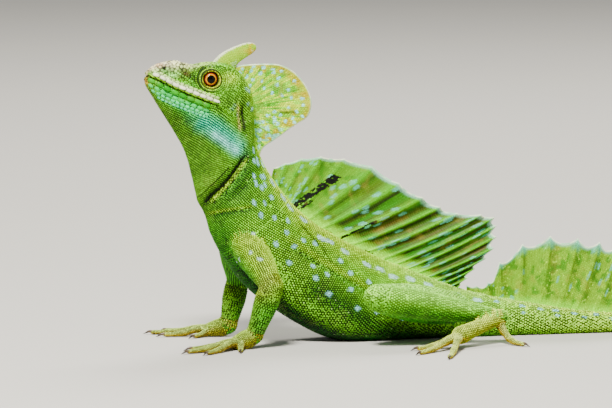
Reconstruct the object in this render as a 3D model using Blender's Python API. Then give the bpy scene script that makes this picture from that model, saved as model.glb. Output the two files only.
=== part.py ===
"""Green basilisk, an adult male of about 0.2 m from snout to vent, propped on its hands with its tail laid out.

It faces -X with its left side towards -Y, and stands on Z = 0. Lengths in this file are millimetres and
angles are degrees; finish_object turns the finished meshes into metres.
"""

import math

import bmesh
import bpy
import numpy as np
from mathutils import Vector

MM = 0.001
GAP = 0.3
HALF_GAP = GAP / 2

# The middle of the model's box on the floor, which becomes the origin.
BOX_MIDDLE = (230.26, -0.5)

# The head is turned to the animal's left, about an upright axis through the neck.
HEAD_TURN = 8.0
NECK_AXIS_X = -33.0
NECK_LOW = np.array((-35.0, 72.0))
NECK_RISE = np.array((-0.5, 0.866))
TURN_SPAN = (5.0, 35.0)

# The tail leaves the body straight and then lies in one long S.
TAIL_STRAIGHT_TO = 150.0
TAIL_SWING = 26.0
TAIL_WAVE = 470.0
TAIL_TIP_X = 566.0

# One row for each station along the body: where its plane meets the back and the underside, as (x, z), then
# the half width, how square the upper and lower halves are, and how far above the middle the widest level is.
STATIONS = (
    ("nose", (-82.6, 135.4), (-83.0, 131.6), 1.6, 2.2, 2.2, 0.0),
    ("lips", (-81.4, 137.6), (-82.5, 128.8), 3.4, 2.4, 2.2, 0.0),
    ("nostrils", (-76.2, 140.3), (-79.4, 124.0), 5.4, 2.6, 2.0, 0.0),
    ("muzzle", (-67.0, 140.5), (-74.4, 115.8), 7.6, 2.8, 1.7, 0.1),
    ("brow", (-58.0, 139.8), (-69.2, 107.8), 9.8, 2.8, 1.5, 0.15),
    ("eyes", (-49.5, 140.6), (-64.6, 99.8), 11.6, 2.5, 1.4, 0.2),
    ("temple", (-40.5, 139.4), (-61.4, 92.6), 13.0, 2.3, 1.4, 0.3),
    ("jaw joint", (-32.8, 133.2), (-59.4, 86.4), 13.2, 2.2, 1.5, 0.35),
    ("ears", (-28.4, 123.4), (-57.8, 80.4), 12.4, 2.1, 1.6, 0.35),
    ("neck", (-27.0, 111.6), (-56.4, 75.2), 11.4, 2.0, 1.7, 0.3),
    ("throat", (-26.0, 101.0), (-55.0, 70.4), 11.2, 2.0, 1.8, 0.25),
    ("nape", (-23.2, 92.4), (-51.4, 64.0), 12.0, 1.9, 1.9, 0.2),
    ("shoulders", (-17.0, 81.6), (-48.4, 54.4), 14.2, 1.8, 2.1, 0.1),
    ("chest", (-7.0, 68.8), (-41.4, 41.6), 16.2, 1.7, 2.2, 0.0),
    ("ribs", (5.0, 58.6), (-28.0, 25.2), 17.8, 1.7, 2.3, -0.1),
    ("flank", (20.0, 49.8), (-6.0, 9.6), 18.8, 1.7, 2.4, -0.15),
    ("belly", (36.0, 41.6), (15.0, 0.2), 18.8, 1.7, 2.4, -0.2),
    ("loin", (52.0, 35.0), (37.0, -0.8), 17.0, 1.7, 2.3, -0.2),
    ("pelvis", (68.0, 28.4), (58.0, -0.8), 14.2, 1.8, 2.2, -0.15),
    ("vent", (82.0, 23.4), (77.0, -0.8), 11.2, 1.9, 2.2, -0.1),
    ("tail root", (97.0, 19.8), (95.0, -0.8), 9.0, 2.0, 2.1, 0.0),
    ("tail crest", (117.0, 16.0), (116.5, -0.7), 7.4, 2.0, 2.1, 0.0),
    ("tail bend", (140.0, 12.0), (140.0, -0.6), 6.0, 2.0, 2.1, 0.0),
    ("second length", (170.0, 9.4), (170.0, -0.5), 4.8, 2.0, 2.1, 0.0),
    ("crest end", (230.0, 7.6), (230.0, -0.4), 3.8, 2.0, 2.1, 0.0),
    ("third length", (310.0, 5.8), (310.0, -0.35), 2.9, 2.0, 2.1, 0.0),
    ("fourth length", (400.0, 4.0), (400.0, -0.3), 2.0, 2.0, 2.1, 0.0),
    ("whip", (490.0, 2.4), (490.0, -0.25), 1.2, 2.0, 2.1, 0.0),
    ("tail tip", (TAIL_TIP_X, 1.0), (TAIL_TIP_X, -0.2), 0.5, 2.0, 2.1, 0.0),
)
STATION_NUMBER = {row[0]: number for number, row in enumerate(STATIONS)}

# Where the body is parted: each length runs between two stations, in so many rings of so many points.
BODY_LENGTHS = {
    "skull": ("nose", "neck", 21, 28),
    "neck": ("neck", "shoulders", 7, 28),
    "torso": ("shoulders", "tail root", 17, 26),
    "tail_base": ("tail root", "second length", 9, 20),
    "tail_second": ("second length", "third length", 8, 16),
    "tail_third": ("third length", "fourth length", 6, 12),
    "tail_tip": ("fourth length", "tail tip", 9, 10),
}

# Swellings and hollows of the head: centre (x, |y|, z), reach along each axis, and height.
HEAD_FORMS = {
    "brow ridge": ((-52.0, 8.0, 138.4), (9.0, 2.6, 2.6), 1.0),
    "snout ridge": ((-67.5, 4.6, 139.6), (7.0, 2.6, 2.6), 1.7),
    "crown hollow": ((-59.0, 0.0, 141.0), (5.5, 5.0, 4.0), -1.2),
    "jaw muscle": ((-41.0, 13.0, 121.0), (8.0, 6.0, 8.0), 1.5),
    "snout hollow": ((-66.0, 7.6, 132.4), (8.0, 3.0, 2.8), -0.9),
    "eye hollow": ((-54.0, 11.0, 133.6), (7.0, 5.0, 5.5), -0.9),
}

MOUTH_LINE = ((-90.0, 138.0), (-83.5, 134.9), (-79.2, 133.5), (-68.6, 127.8), (-58.0, 123.2), (-50.0, 120.1))
JAW_BACK = ((-43.0, 112.6), (-39.0, 103.0), (-36.5, 88.0), (-36.0, 60.0))
LIP_FROM_MOUTH = 1.15
LIP_RADIUS = 0.9

EYE_PLACE = (-52.1, 6.9, 132.7)
EYE_RADIUS = 4.7
LID_PLACE, LID_DEPTH = 8.8, 2.5
LID_RING_RADIUS = 4.1
LID_RADIUS = 0.95
NOSTRIL_PLACE = (-74.6, 138.0)
NOSTRIL_RADII = (1.15, 0.9, 0.85)
EAR_PLACE = (-37.2, 114.4)
EAR_RADII = (2.3, 1.5, 3.9)

# The casque is a fan about a point in the back of the skull: direction above level, then reach.
CASQUE_HUB = (-40.0, 116.0)
CASQUE_REACH = (
    (82.5, 21.1), (62.7, 25.1), (49.1, 29.7), (36.7, 35.7), (21.1, 41.0), (6.5, 43.3), (-4.8, 41.4),
    (-11.7, 36.4), (-19.0, 32.2), (-30.5, 28.7), (-42.3, 26.4), (-51.0, 26.8), (-59.2, 30.2),
)
CASQUE_INNER_SHARE = 0.22
CASQUE_ROOT_HALF, CASQUE_EDGE_HALF = 1.7, 0.55

# The lobe in front of the casque: where its middle line runs, half its depth and half its thickness.
LOBE_STATIONS = (
    ((-45.5, 133.5), 6.4, 2.4),
    ((-41.0, 139.5), 5.6, 2.1),
    ((-36.5, 143.2), 4.3, 1.6),
    ((-31.0, 145.8), 3.5, 1.2),
    ((-27.2, 147.0), 2.6, 0.9),
    ((-25.2, 147.4), 1.2, 0.5),
)

# The sail on the back, one row for each ray: where it leaves the back, its length and how steeply it rises.
SAIL_RAYS = (
    (-17.5, 4.5, 76.0),
    (-14.5, 11.5, 68.0),
    (-11.2, 19.5, 63.0),
    (-7.7, 27.0, 56.0),
    (-3.6, 34.0, 47.0),
    (1.5, 41.0, 37.5),
    (8.2, 44.5, 28.5),
    (16.5, 46.8, 23.5),
    (23.5, 48.5, 21.0),
    (31.0, 50.0, 21.0),
    (39.0, 54.5, 22.5),
    (45.8, 55.0, 23.5),
    (51.8, 50.0, 23.5),
    (57.3, 43.5, 23.0),
    (62.4, 36.0, 22.0),
    (67.0, 27.0, 22.0),
    (71.1, 17.0, 23.0),
    (74.8, 9.0, 25.0),
    (77.5, 2.0, 40.0),
)

# The sail on the tail: the rays in front one by one, then evenly spaced ones that shorten to nothing.
TAIL_SAIL_RAYS = (
    (82.5, 2.0, 90.0),
    (88.0, 3.0, 90.0),
    (93.5, 6.0, 90.0),
    (99.5, 17.5, 91.0),
    (109.5, 28.0, 86.0),
    (120.0, 34.2, 80.0),
    (130.0, 35.7, 74.0),
    (139.0, 35.7, 70.0),
    (149.0, 34.5, 68.0),
)
TAIL_SAIL_SPACING = 12.0
TAIL_SAIL_MORE_RAYS = 14
TAIL_SAIL_LAST = (1.5, 42.0)
TAIL_SAIL_PARTING = 11

SAIL_ROOT_DEPTH = 3.2
SAIL_ROOT_HALF, MEMBRANE_HALF = 1.0, 0.4
RAY_HALF, RAY_SPREAD, RAY_SAG = 0.65, 0.13, 0.08
SCALLOPS = (0.8, 3.2)
TAIL_SCALLOPS = (4.2, 2.4)
COLUMNS_PER_RAY = 4
PLEAT_WAVE, PLEAT_SWING = 3.7, 1.3

# Limb joints as (x, distance from the middle plane, z), for the left side and then the right side.
ARM_JOINTS = (
    {"shoulder": (-33.5, 7.5, 52.5), "elbow": (-23.5, 31.0, 31.2), "wrist": (-31.8, 26.5, 6.4)},
    {"shoulder": (-34.5, 7.5, 52.5), "elbow": (-29.5, 26.0, 27.6), "wrist": (-35.2, 22.5, 5.6)},
)
LEG_JOINTS = (
    {"hip": (74.0, 8.5, 15.0), "knee": (28.0, 38.5, 25.0), "ankle": (92.0, 32.0, 13.2)},
    {"hip": (74.0, 8.5, 15.0), "knee": (30.0, 39.0, 24.0), "ankle": (92.0, 31.0, 12.6)},
)
UPPER_ARM_RADII = (8.4, 8.6, 7.2, 5.5)
FOREARM_RADII = (5.6, 6.1, 5.2, 4.2)
THIGH_RADII = (8.2, 9.4, 8.8, 6.8)
SHANK_RADII = (6.8, 7.0, 5.4, 3.4)
LIMB_AROUND = 14
LIMB_ALONG = 7

# Digits as (turn outward from straight ahead, length without the claw), from the inner one to the outer one.
HAND_REACH = 8.5
HAND_TURN = 14.0
PALM_RADII = (4.2, 5.0, 4.6)
PALM_HEIGHT = 2.9
FINGERS = ((-36.0, 14.0), (2.0, 24.0), (25.0, 31.0), (45.0, 28.0), (78.0, 15.0))
FOOT_TURN = 30.0
FOOT_REACH = 27.0
FOOT_HEIGHT = 6.2
TOE_HEIGHTS = (5.6, 5.4, 4.2, 2.4, 1.4, 1.15)
HEEL_TOE_HEIGHTS = (10.2, 6.6, 3.4, 2.0, 1.35, 1.15)
SOLE_RADII = (3.9, 3.7, 4.6)
TOES = ((2.0, 15.0), (16.0, 24.0), (42.0, 34.0), (70.0, 44.0), (122.0, 17.0))
DIGIT_RADII = (2.3, 2.1, 1.75, 1.6, 1.5, 1.25)
DIGIT_HEIGHTS = (3.2, 3.9, 3.3, 2.0, 1.35, 1.15)
DIGIT_AROUND = 7
CLAW_LENGTH = 4.0
CLAW_RADII = (0.85, 0.6, 0.15)
CLAW_HEIGHTS = (1.35, 1.25, 0.45)

COLOURS = {
    "leaf green": (0.19, 0.42, 0.035),
    "flank green": (0.15, 0.36, 0.04),
    "throat green": (0.27, 0.41, 0.02),
    "jaw turquoise": (0.16, 0.45, 0.2),
    "sail green": (0.14, 0.33, 0.03),
    "casque yellow green": (0.36, 0.52, 0.06),
    "limb olive": (0.27, 0.4, 0.08),
    "toe grey green": (0.42, 0.47, 0.22),
    "eye orange": (0.75, 0.25, 0.02),
}


def smooth_step(share):
    """Rises gently from 0 to 1 as share goes from 0 to 1."""
    share = np.clip(share, 0.0, 1.0)
    return share * share * (3.0 - 2.0 * share)


def curve_through(rows, place):
    """A smooth curve through evenly numbered rows, read at place, which counts rows from 0."""
    rows = np.asarray(rows, float)
    place = np.clip(np.asarray(place, float), 0.0, len(rows) - 1.0)
    start = np.minimum(place.astype(int), len(rows) - 2)
    part = (place - start).reshape(place.shape + (1,) * (rows.ndim - 1))
    before, after = rows[np.maximum(start - 1, 0)], rows[np.minimum(start + 2, len(rows) - 1)]
    first, second = rows[start], rows[start + 1]
    return first + 0.5 * part * (
        second - before
        + part * (2 * before - 5 * first + 4 * second - after + part * (3 * (first - second) + after - before))
    )


def graph_through(knots, heights, place):
    """A smooth graph through unevenly spaced knots, read at place."""
    number = np.interp(place, knots, np.arange(len(knots)))
    return curve_through(heights, number)


def pose(points):
    """Turns the head to the left and lays the tail in its S. Points are rows of x, y, z."""
    points = np.array(points, float)
    rise = (points[:, [0, 2]] - NECK_LOW) @ NECK_RISE
    turn = np.radians(HEAD_TURN) * smooth_step((rise - TURN_SPAN[0]) / (TURN_SPAN[1] - TURN_SPAN[0]))
    ahead, aside = points[:, 0] - NECK_AXIS_X, points[:, 1].copy()
    points[:, 0] = NECK_AXIS_X + ahead * np.cos(turn) - aside * np.sin(turn)
    points[:, 1] = ahead * np.sin(turn) + aside * np.cos(turn)

    run = np.arange(TAIL_STRAIGHT_TO, TAIL_TIP_X + 20.0, 1.0)
    heading = np.radians(TAIL_SWING) * np.sin(2 * math.pi * (run - TAIL_STRAIGHT_TO) / TAIL_WAVE)
    path_x = TAIL_STRAIGHT_TO + np.concatenate(([0.0], np.cumsum(np.cos(heading))[:-1]))
    path_y = np.concatenate(([0.0], np.cumsum(np.sin(heading))[:-1]))
    on_tail = points[:, 0] > TAIL_STRAIGHT_TO
    along, across = points[on_tail, 0], points[on_tail, 1]
    angle = np.interp(along, run, heading)
    points[on_tail, 0] = np.interp(along, run, path_x) - across * np.sin(angle)
    points[on_tail, 1] = np.interp(along, run, path_y) + across * np.cos(angle)
    return points


def body_surface(place, around, grow=0.0):
    """Points on the body's skin, before it is posed.

    place counts stations from the nose, around is the angle from the back, and grow stands the skin off.
    """
    rows = np.array([(*row[1], *row[2], *row[3:]) for row in STATIONS])
    back_x, back_z, under_x, under_z, width, upper, lower, level = curve_through(rows, place).T
    half = np.stack([back_x - under_x, back_z - under_z], axis=-1) / 2
    half_length = np.linalg.norm(half, axis=-1)
    middle = np.stack([back_x + under_x, back_z + under_z], axis=-1) / 2
    cosine, sine = np.cos(around), np.sin(around)
    power = 2.0 / np.where(cosine >= 0, upper, lower)
    aside = np.sign(sine) * np.abs(sine) ** power
    up = np.sign(cosine) * np.abs(cosine) ** power
    up = up + level * (1 - up**2)
    centre = middle + half * (up * (half_length + grow) / half_length)[:, None]
    return np.stack([centre[:, 0], (width + grow) * aside, centre[:, 1]], axis=-1)


def back_line(x):
    """Height of the back above the floor at x, behind the neck."""
    places = np.linspace(STATION_NUMBER["throat"], len(STATIONS) - 1, 600)
    back = body_surface(places, np.zeros_like(places))
    return np.interp(x, back[:, 0], back[:, 2])


def skin_beside(x, z):
    """How far the head's skin is from the middle plane at x and z."""
    places, angles = np.meshgrid(np.linspace(0.2, 10.0, 300), np.linspace(0.05, math.pi - 0.05, 150))
    skin = body_surface(places.ravel(), angles.ravel())
    nearest = np.argmin(np.hypot(skin[:, 0] - x, skin[:, 2] - z))
    return skin[nearest, 1]


def wrapped_grid(along, around, surface):
    """A grid of faces laid on a surface, which is given shares along and around and returns points."""
    shape = bmesh.new()
    bmesh.ops.create_grid(shape, x_segments=along, y_segments=around, size=0.5)
    shares = np.array([vert.co[:2] for vert in shape.verts]) + 0.5
    for vert, point in zip(shape.verts, surface(shares[:, 0], shares[:, 1])):
        vert.co = point
    return shape


def face_outward(shape):
    """Turns every face of a closed shape outward."""
    shape.normal_update()
    bmesh.ops.recalc_face_normals(shape, faces=shape.faces)
    return shape


def close_shape(shape):
    """Welds the seam of a wrapped grid and fills its open ends."""
    bmesh.ops.remove_doubles(shape, verts=shape.verts, dist=1e-4)
    bmesh.ops.holes_fill(shape, edges=[edge for edge in shape.edges if edge.is_boundary])
    face_outward(shape)
    return shape


def move_points(shape, mover):
    """Sends every point of the shape through mover."""
    moved = mover(np.array([vert.co[:] for vert in shape.verts]))
    for vert, point in zip(shape.verts, moved):
        vert.co = point
    return shape


def trim(shape, point, outward):
    """Cuts away what lies on the outward side of a plane, and closes the cut."""
    parts = shape.verts[:] + shape.edges[:] + shape.faces[:]
    cut = bmesh.ops.bisect_plane(
        shape, geom=parts, plane_co=point, plane_no=outward, clear_outer=True, dist=1e-4
    )
    rim = [item for item in cut["geom_cut"] if isinstance(item, bmesh.types.BMEdge)]
    bmesh.ops.holes_fill(shape, edges=rim)
    return shape


def body_length(name):
    """A closed length of the body between its two stations, with its ends drawn in by half a gap."""
    start, end, rings, around = BODY_LENGTHS[name]
    first, last = STATION_NUMBER[start], STATION_NUMBER[end]

    def surface(share, turn):
        return body_surface(first + share * (last - first), turn * 2 * math.pi)

    shape = close_shape(wrapped_grid(rings, around, surface))
    for number, inner in ((first, 1.0), (last, -1.0)):
        if number in (0, len(STATIONS) - 1):
            continue
        back, under = Vector(STATIONS[number][1]), Vector(STATIONS[number][2])
        across = (back - under).normalized()
        backward = Vector((across.y, 0.0, -across.x)) * inner
        point = Vector((back.x, 0.0, back.y)) + backward * HALF_GAP
        trim(shape, point, -backward)
    return shape


def grown_length(name):
    """A length of the body stood off by the gap and one ring longer at each end, to cut what grows from it."""
    start, end, rings, around = BODY_LENGTHS[name]
    first, last = STATION_NUMBER[start], STATION_NUMBER[end]
    step = (last - first) / rings

    def surface(share, turn):
        return body_surface(first - step + share * (last - first + 2 * step), turn * 2 * math.pi, GAP)

    shape = close_shape(wrapped_grid(rings + 2, around, surface))
    return swell_head(shape) if name == "skull" else shape


def drop_to_floor(points):
    """Flattens whatever hangs below the floor."""
    points = np.array(points)
    points[:, 2] = np.maximum(points[:, 2], 0.0)
    return points


def swell_head(shape):
    """Raises the ridges and muscles of the head, and sinks its hollows."""
    shape.normal_update()
    for vert in shape.verts:
        place = Vector((vert.co.x, abs(vert.co.y), vert.co.z))
        rise = 0.0
        for centre, reach, height in HEAD_FORMS.values():
            away = sum(((place[i] - centre[i]) / reach[i]) ** 2 for i in range(3))
            rise += height * math.exp(-away)
        vert.co += vert.normal * rise
    return shape


def ring_frame(tangent, reference):
    """Two directions across a tube: sideways, and the one nearest to reference."""
    tangent = tangent.normalized()
    side = tangent.cross(reference).normalized()
    return side, side.cross(tangent)


def tube(centres, radii, heights=None, around=DIGIT_AROUND, reference=(0.0, 0.0, 1.0)):
    """A closed tube with a ring at each centre. A radius of 0 at an end closes it to a point."""
    centres = [Vector(centre) for centre in centres]
    heights = radii if heights is None else heights
    count = len(centres)
    frames = []
    for number in range(count):
        tangent = centres[min(number + 1, count - 1)] - centres[max(number - 1, 0)]
        frames.append(ring_frame(tangent, Vector(reference)))

    def surface(share, turn):
        points = []
        for number, angle in zip(np.rint(share * (count - 1)).astype(int), turn * 2 * math.pi):
            side, up = frames[number]
            points.append(
                centres[number] + side * radii[number] * math.cos(angle) + up * heights[number] * math.sin(angle)
            )
        return points

    return close_shape(wrapped_grid(count - 1, around, surface))


def limb_length(start, end, radii, bow=(0.0, 0.0, 0.0), reference=(1.0, 0.0, 0.0)):
    """A rounded length of limb from one joint to the next, whose muscle bulges along bow."""
    start, end, bow = Vector(start), Vector(end), Vector(bow)
    along = (end - start).normalized()
    centres, sizes = [], []
    for back, share in ((1.0, 0.0), (0.85, 0.53), (0.5, 0.866)):
        centres.append(start - along * radii[0] * back)
        sizes.append(radii[0] * share)
    for step in range(LIMB_ALONG):
        share = step / (LIMB_ALONG - 1)
        centres.append(start.lerp(end, share) + bow * math.sin(math.pi * share))
        sizes.append(float(curve_through(radii, share * (len(radii) - 1))))
    for back, share in ((0.5, 0.866), (0.85, 0.53), (1.0, 0.0)):
        centres.append(end + along * radii[-1] * back)
        sizes.append(radii[-1] * share)
    return tube(centres, sizes, around=LIMB_AROUND, reference=reference)


def mitre(shape, joint, own_end, other_end):
    """Trims a limb length at a joint, on the plane midway between it and the next length."""
    joint, own_end, other_end = Vector(joint), Vector(own_end), Vector(other_end)
    outward = ((other_end - joint).normalized() - (own_end - joint).normalized()).normalized()
    return trim(shape, joint - outward * HALF_GAP, outward)


def to_side(point, side):
    """A joint as a point on the left (-1) or the right (1) of the body."""
    return Vector((point[0], point[1] * side, point[2]))


def fan_sheet(columns, rows, middle, half_thickness):
    """A thin closed sheet about a middle surface, with the same triangles on both of its faces."""
    shape = bmesh.new()
    bmesh.ops.create_grid(shape, x_segments=columns, y_segments=rows, size=0.5)
    bmesh.ops.triangulate(shape, faces=shape.faces, quad_method="FIXED")
    grown = bmesh.ops.extrude_face_region(shape, geom=shape.faces[:])
    far = {item for item in grown["geom"] if isinstance(item, bmesh.types.BMVert)}
    shares = np.array([vert.co[:2] for vert in shape.verts]) + 0.5
    points, halves = middle(shares[:, 0], shares[:, 1]), half_thickness(shares[:, 0], shares[:, 1])
    for vert, point, half in zip(shape.verts, points, halves):
        vert.co = Vector(point) + Vector((0.0, half if vert in far else -half, 0.0))
    face_outward(shape)
    return shape


def casque(grow=0.0):
    """The tall crest on the back of the head, or a larger one to cut what meets it."""
    slopes = np.radians([row[0] for row in CASQUE_REACH])
    reaches = np.array([row[1] for row in CASQUE_REACH])

    def middle(share, out):
        number = share * (len(slopes) - 1)
        slope, reach = curve_through(slopes, number), curve_through(reaches, number) + grow
        radius = reach * (CASQUE_INNER_SHARE + (1 - CASQUE_INNER_SHARE) * out)
        return np.stack(
            [CASQUE_HUB[0] + radius * np.cos(slope), np.zeros_like(out), CASQUE_HUB[1] + radius * np.sin(slope)],
            axis=-1,
        )

    def half(share, out):
        return CASQUE_EDGE_HALF + (CASQUE_ROOT_HALF - CASQUE_EDGE_HALF) * (1 - out) ** 1.5 + grow

    return fan_sheet(26, 5, middle, half)


def lobe():
    """The small crest in front of the casque, a flat tongue that leans back."""
    centres = [(x, 0.0, z) for (x, z), _, _ in LOBE_STATIONS]
    depths = [depth for _, depth, _ in LOBE_STATIONS]
    halves = [half for _, _, half in LOBE_STATIONS]
    return tube(centres, halves, depths, around=12)


def tail_sail_rays():
    """Every ray of the sail on the tail, in the same terms as SAIL_RAYS."""
    rays = list(TAIL_SAIL_RAYS)
    start, length, slope = rays[-1]
    for number in range(1, TAIL_SAIL_MORE_RAYS + 1):
        share = number / TAIL_SAIL_MORE_RAYS
        rays.append(
            (
                start + number * TAIL_SAIL_SPACING,
                length + (TAIL_SAIL_LAST[0] - length) * share**1.3,
                slope + (TAIL_SAIL_LAST[1] - slope) * share,
            )
        )
    return tuple(rays)


def sail(rays, first, last, rows, scallops):
    """The sail between two numbered rays, raised in ridges over the rays and sunk into the back."""

    def read(share):
        number = first + share * (last - first)
        return (number, *curve_through(rays, number).T)

    def middle(share, out):
        number, x, length, slope = read(share)
        slope = np.radians(slope)
        depth = scallops[0] + (scallops[1] - scallops[0]) * number / (len(rays) - 1)
        dip = np.minimum(depth, 0.35 * length) * np.abs(np.sin(math.pi * number)) ** 0.8
        reach = -SAIL_ROOT_DEPTH + (length - dip + SAIL_ROOT_DEPTH) * out
        sag = (1 - out) * out * RAY_SAG * length
        swing = PLEAT_SWING * out * np.sin(2 * math.pi * number / PLEAT_WAVE)
        return np.stack(
            [
                x + reach * np.cos(slope) + sag * np.sin(slope),
                swing,
                back_line(x) + reach * np.sin(slope) - sag * np.cos(slope),
            ],
            axis=-1,
        )

    def half(share, out):
        number = read(share)[0]
        from_ray = np.abs(number - np.rint(number))
        ridge = RAY_HALF * np.exp(-((from_ray / RAY_SPREAD) ** 2)) * (1 - 0.55 * out)
        return MEMBRANE_HALF + (SAIL_ROOT_HALF - MEMBRANE_HALF) * (1 - out) ** 3 + ridge

    return fan_sheet((last - first) * COLUMNS_PER_RAY, rows, middle, half)


def lip_line(offset, side):
    """A bead that follows the mouth, above it or below it, and sinks into the skin at both ends."""
    centres = []
    for number, (x, z) in enumerate(MOUTH_LINE[1:]):
        at_end = number in (0, len(MOUTH_LINE) - 2)
        height = z + offset
        sunk = LIP_RADIUS * (0.9 if at_end else 0.25)
        place = x + (1.6 if number == 0 else 0.0)
        centres.append((place, side * (skin_beside(place, height) - sunk), height))
    sizes = [LIP_RADIUS * share for share in (0.7, 0.95, 1.0, 1.0, 0.8)]
    return tube(centres, sizes, around=6)


def mouth_cutter():
    """A thin folded slab that parts the lower jaw from the head."""
    line = [Vector(point) for point in MOUTH_LINE + JAW_BACK]
    edges = []
    for number, point in enumerate(line):
        run = line[min(number + 1, len(line) - 1)] - line[max(number - 1, 0)]
        normal = Vector((-run.y, run.x)).normalized() * HALF_GAP
        edges.append((point + normal, point - normal))
    outline = [upper for upper, _ in edges] + [lower for _, lower in reversed(edges)]
    shape = bmesh.new()
    face = shape.faces.new([shape.verts.new((x, -30.0, z)) for x, z in outline])
    grown = bmesh.ops.extrude_face_region(shape, geom=[face])
    for item in grown["geom"]:
        if isinstance(item, bmesh.types.BMVert):
            item.co.y = 30.0
    face_outward(shape)
    return shape


def ball(centre, radii, rings=8, around=12):
    """An ellipsoid with its poles to the sides."""
    shape = bmesh.new()
    bmesh.ops.create_uvsphere(shape, u_segments=around, v_segments=rings, radius=1.0)
    for vert in shape.verts:
        x, y, z = vert.co
        vert.co = (centre[0] + x * radii[0], centre[1] + z * radii[1], centre[2] + y * radii[2])
    face_outward(shape)
    return shape


def lid_ring(side):
    """The eyelids, a ring of skin that stands round the eye and reaches down into the head."""

    def surface(share, turn):
        points = []
        for part, angle in zip(share * 2 * math.pi, turn * 2 * math.pi):
            ring = LID_RING_RADIUS + LID_RADIUS * math.cos(angle)
            points.append(
                (
                    EYE_PLACE[0] + ring * math.cos(part),
                    side * (LID_PLACE + LID_DEPTH * math.sin(angle)),
                    EYE_PLACE[2] + ring * math.sin(part),
                )
            )
        return points

    return close_shape(wrapped_grid(16, 7, surface))


def digit(base, heading, length, heights=DIGIT_HEIGHTS):
    """A finger or toe that arches down to the floor, with its claw."""
    along = Vector((math.cos(heading), math.sin(heading), 0.0))
    centres, radii = [], []
    for number, (height, radius) in enumerate(zip(heights, DIGIT_RADII)):
        place = Vector(base) + along * length * number / (len(DIGIT_RADII) - 1)
        centres.append(Vector((place.x, place.y, height)))
        radii.append(radius)
    for number, (height, radius) in enumerate(zip(CLAW_HEIGHTS, CLAW_RADII)):
        place = Vector(base) + along * (length + 0.4 + CLAW_LENGTH * number / (len(CLAW_RADII) - 1))
        centres.append(Vector((place.x, place.y, height)))
        radii.append(radius)
    return tube(centres, radii, around=DIGIT_AROUND)


def heading_of(turn, side):
    """The direction on the floor that is turned outward from straight ahead by turn degrees."""
    return math.atan2(side * math.sin(math.radians(turn)), -math.cos(math.radians(turn)))


def hand_pieces(joints, side):
    """The palm and its five fingers."""
    wrist = to_side(joints["wrist"], side)
    heading = heading_of(HAND_TURN, side)
    along = Vector((math.cos(heading), math.sin(heading), 0.0))
    knuckles = wrist + along * HAND_REACH
    pieces = [limb_length(wrist - along * 0.5, (knuckles.x, knuckles.y, PALM_HEIGHT), PALM_RADII)]
    for turn, length in FINGERS:
        spread = Vector((-along.y, along.x, 0.0)) * side * -1.0
        root = knuckles - along * 2.5 + spread * -3.2 * math.sin(math.radians(turn - 20.0))
        pieces.append(digit(root, heading_of(turn, side), length + 2.0))
    return pieces


def foot_pieces(joints, side):
    """The long sole and its five toes, of which the outer one leaves the heel."""
    ankle = to_side(joints["ankle"], side)
    heading = heading_of(FOOT_TURN, side)
    along = Vector((math.cos(heading), math.sin(heading), 0.0))
    ball_of_foot = ankle + along * FOOT_REACH
    ball_of_foot.z = FOOT_HEIGHT
    pieces = [limb_length(ankle, ball_of_foot, SOLE_RADII, reference=(0.0, 0.0, 1.0))]
    for turn, length in TOES[:-1]:
        spread = Vector((along.y, -along.x, 0.0)) * side
        root = ball_of_foot - along * 1.5 - spread * 2.6 * math.sin(math.radians(turn - 30.0))
        pieces.append(digit(root, heading_of(turn, side), length + 1.5, TOE_HEIGHTS))
    turn, length = TOES[-1]
    heel_root = ankle + Vector((-1.0, side * 1.0, 0.0))
    pieces.append(digit(heel_root, heading_of(turn, side), length, HEEL_TOE_HEIGHTS))
    return pieces


def make_material(name):
    """A matt skin, or a wet eye, in a named colour."""
    material = bpy.data.materials.get(name) or bpy.data.materials.new(name)
    material.use_nodes = True
    shader = material.node_tree.nodes["Principled BSDF"]
    shader.inputs["Base Color"].default_value = (*COLOURS[name], 1.0)
    shader.inputs["Roughness"].default_value = 0.15 if name.startswith("eye") else 0.6
    shader.inputs["Metallic"].default_value = 0.0
    return material


def make_object(name, shape, colour=None):
    """An object that holds the shape, still in millimetres."""
    mesh = bpy.data.meshes.new(name)
    shape.to_mesh(mesh)
    shape.free()
    thing = bpy.data.objects.new(name, mesh)
    bpy.context.scene.collection.objects.link(thing)
    if colour:
        mesh.materials.append(make_material(colour))
    return thing


def combine(thing, operation, shapes, solver="EXACT"):
    """Fuses shapes to an object, or cuts them from it, by one Boolean that is then applied."""
    group = bpy.data.collections.new("operands")
    bpy.context.scene.collection.children.link(group)
    for number, shape in enumerate(shapes):
        operand = make_object(f"operand {number}", shape)
        bpy.context.scene.collection.objects.unlink(operand)
        group.objects.link(operand)
    boolean = thing.modifiers.new("combine", "BOOLEAN")
    boolean.operation = operation
    boolean.solver = solver
    boolean.operand_type = "COLLECTION"
    boolean.collection = group
    result = bpy.data.meshes.new_from_object(thing.evaluated_get(bpy.context.evaluated_depsgraph_get()))
    thing.modifiers.clear()
    thing.data = result
    for operand in list(group.objects):
        bpy.data.objects.remove(operand)
    bpy.data.collections.remove(group)
    return thing


def closed_surfaces(shape):
    """The faces of a shape, grouped into the surfaces that hang together, the largest first."""
    shape.faces.ensure_lookup_table()
    seen, groups = set(), []
    for start in shape.faces:
        if start.index in seen:
            continue
        seen.add(start.index)
        waiting, found = [start], []
        while waiting:
            face = waiting.pop()
            found.append(face)
            for edge in face.edges:
                for other in edge.link_faces:
                    if other.index not in seen:
                        seen.add(other.index)
                        waiting.append(other)
        groups.append(found)
    return sorted(groups, key=len, reverse=True)


def mean_height(faces):
    """The mean height of some faces."""
    return sum(face.calc_center_median().z for face in faces) / len(faces)


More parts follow.
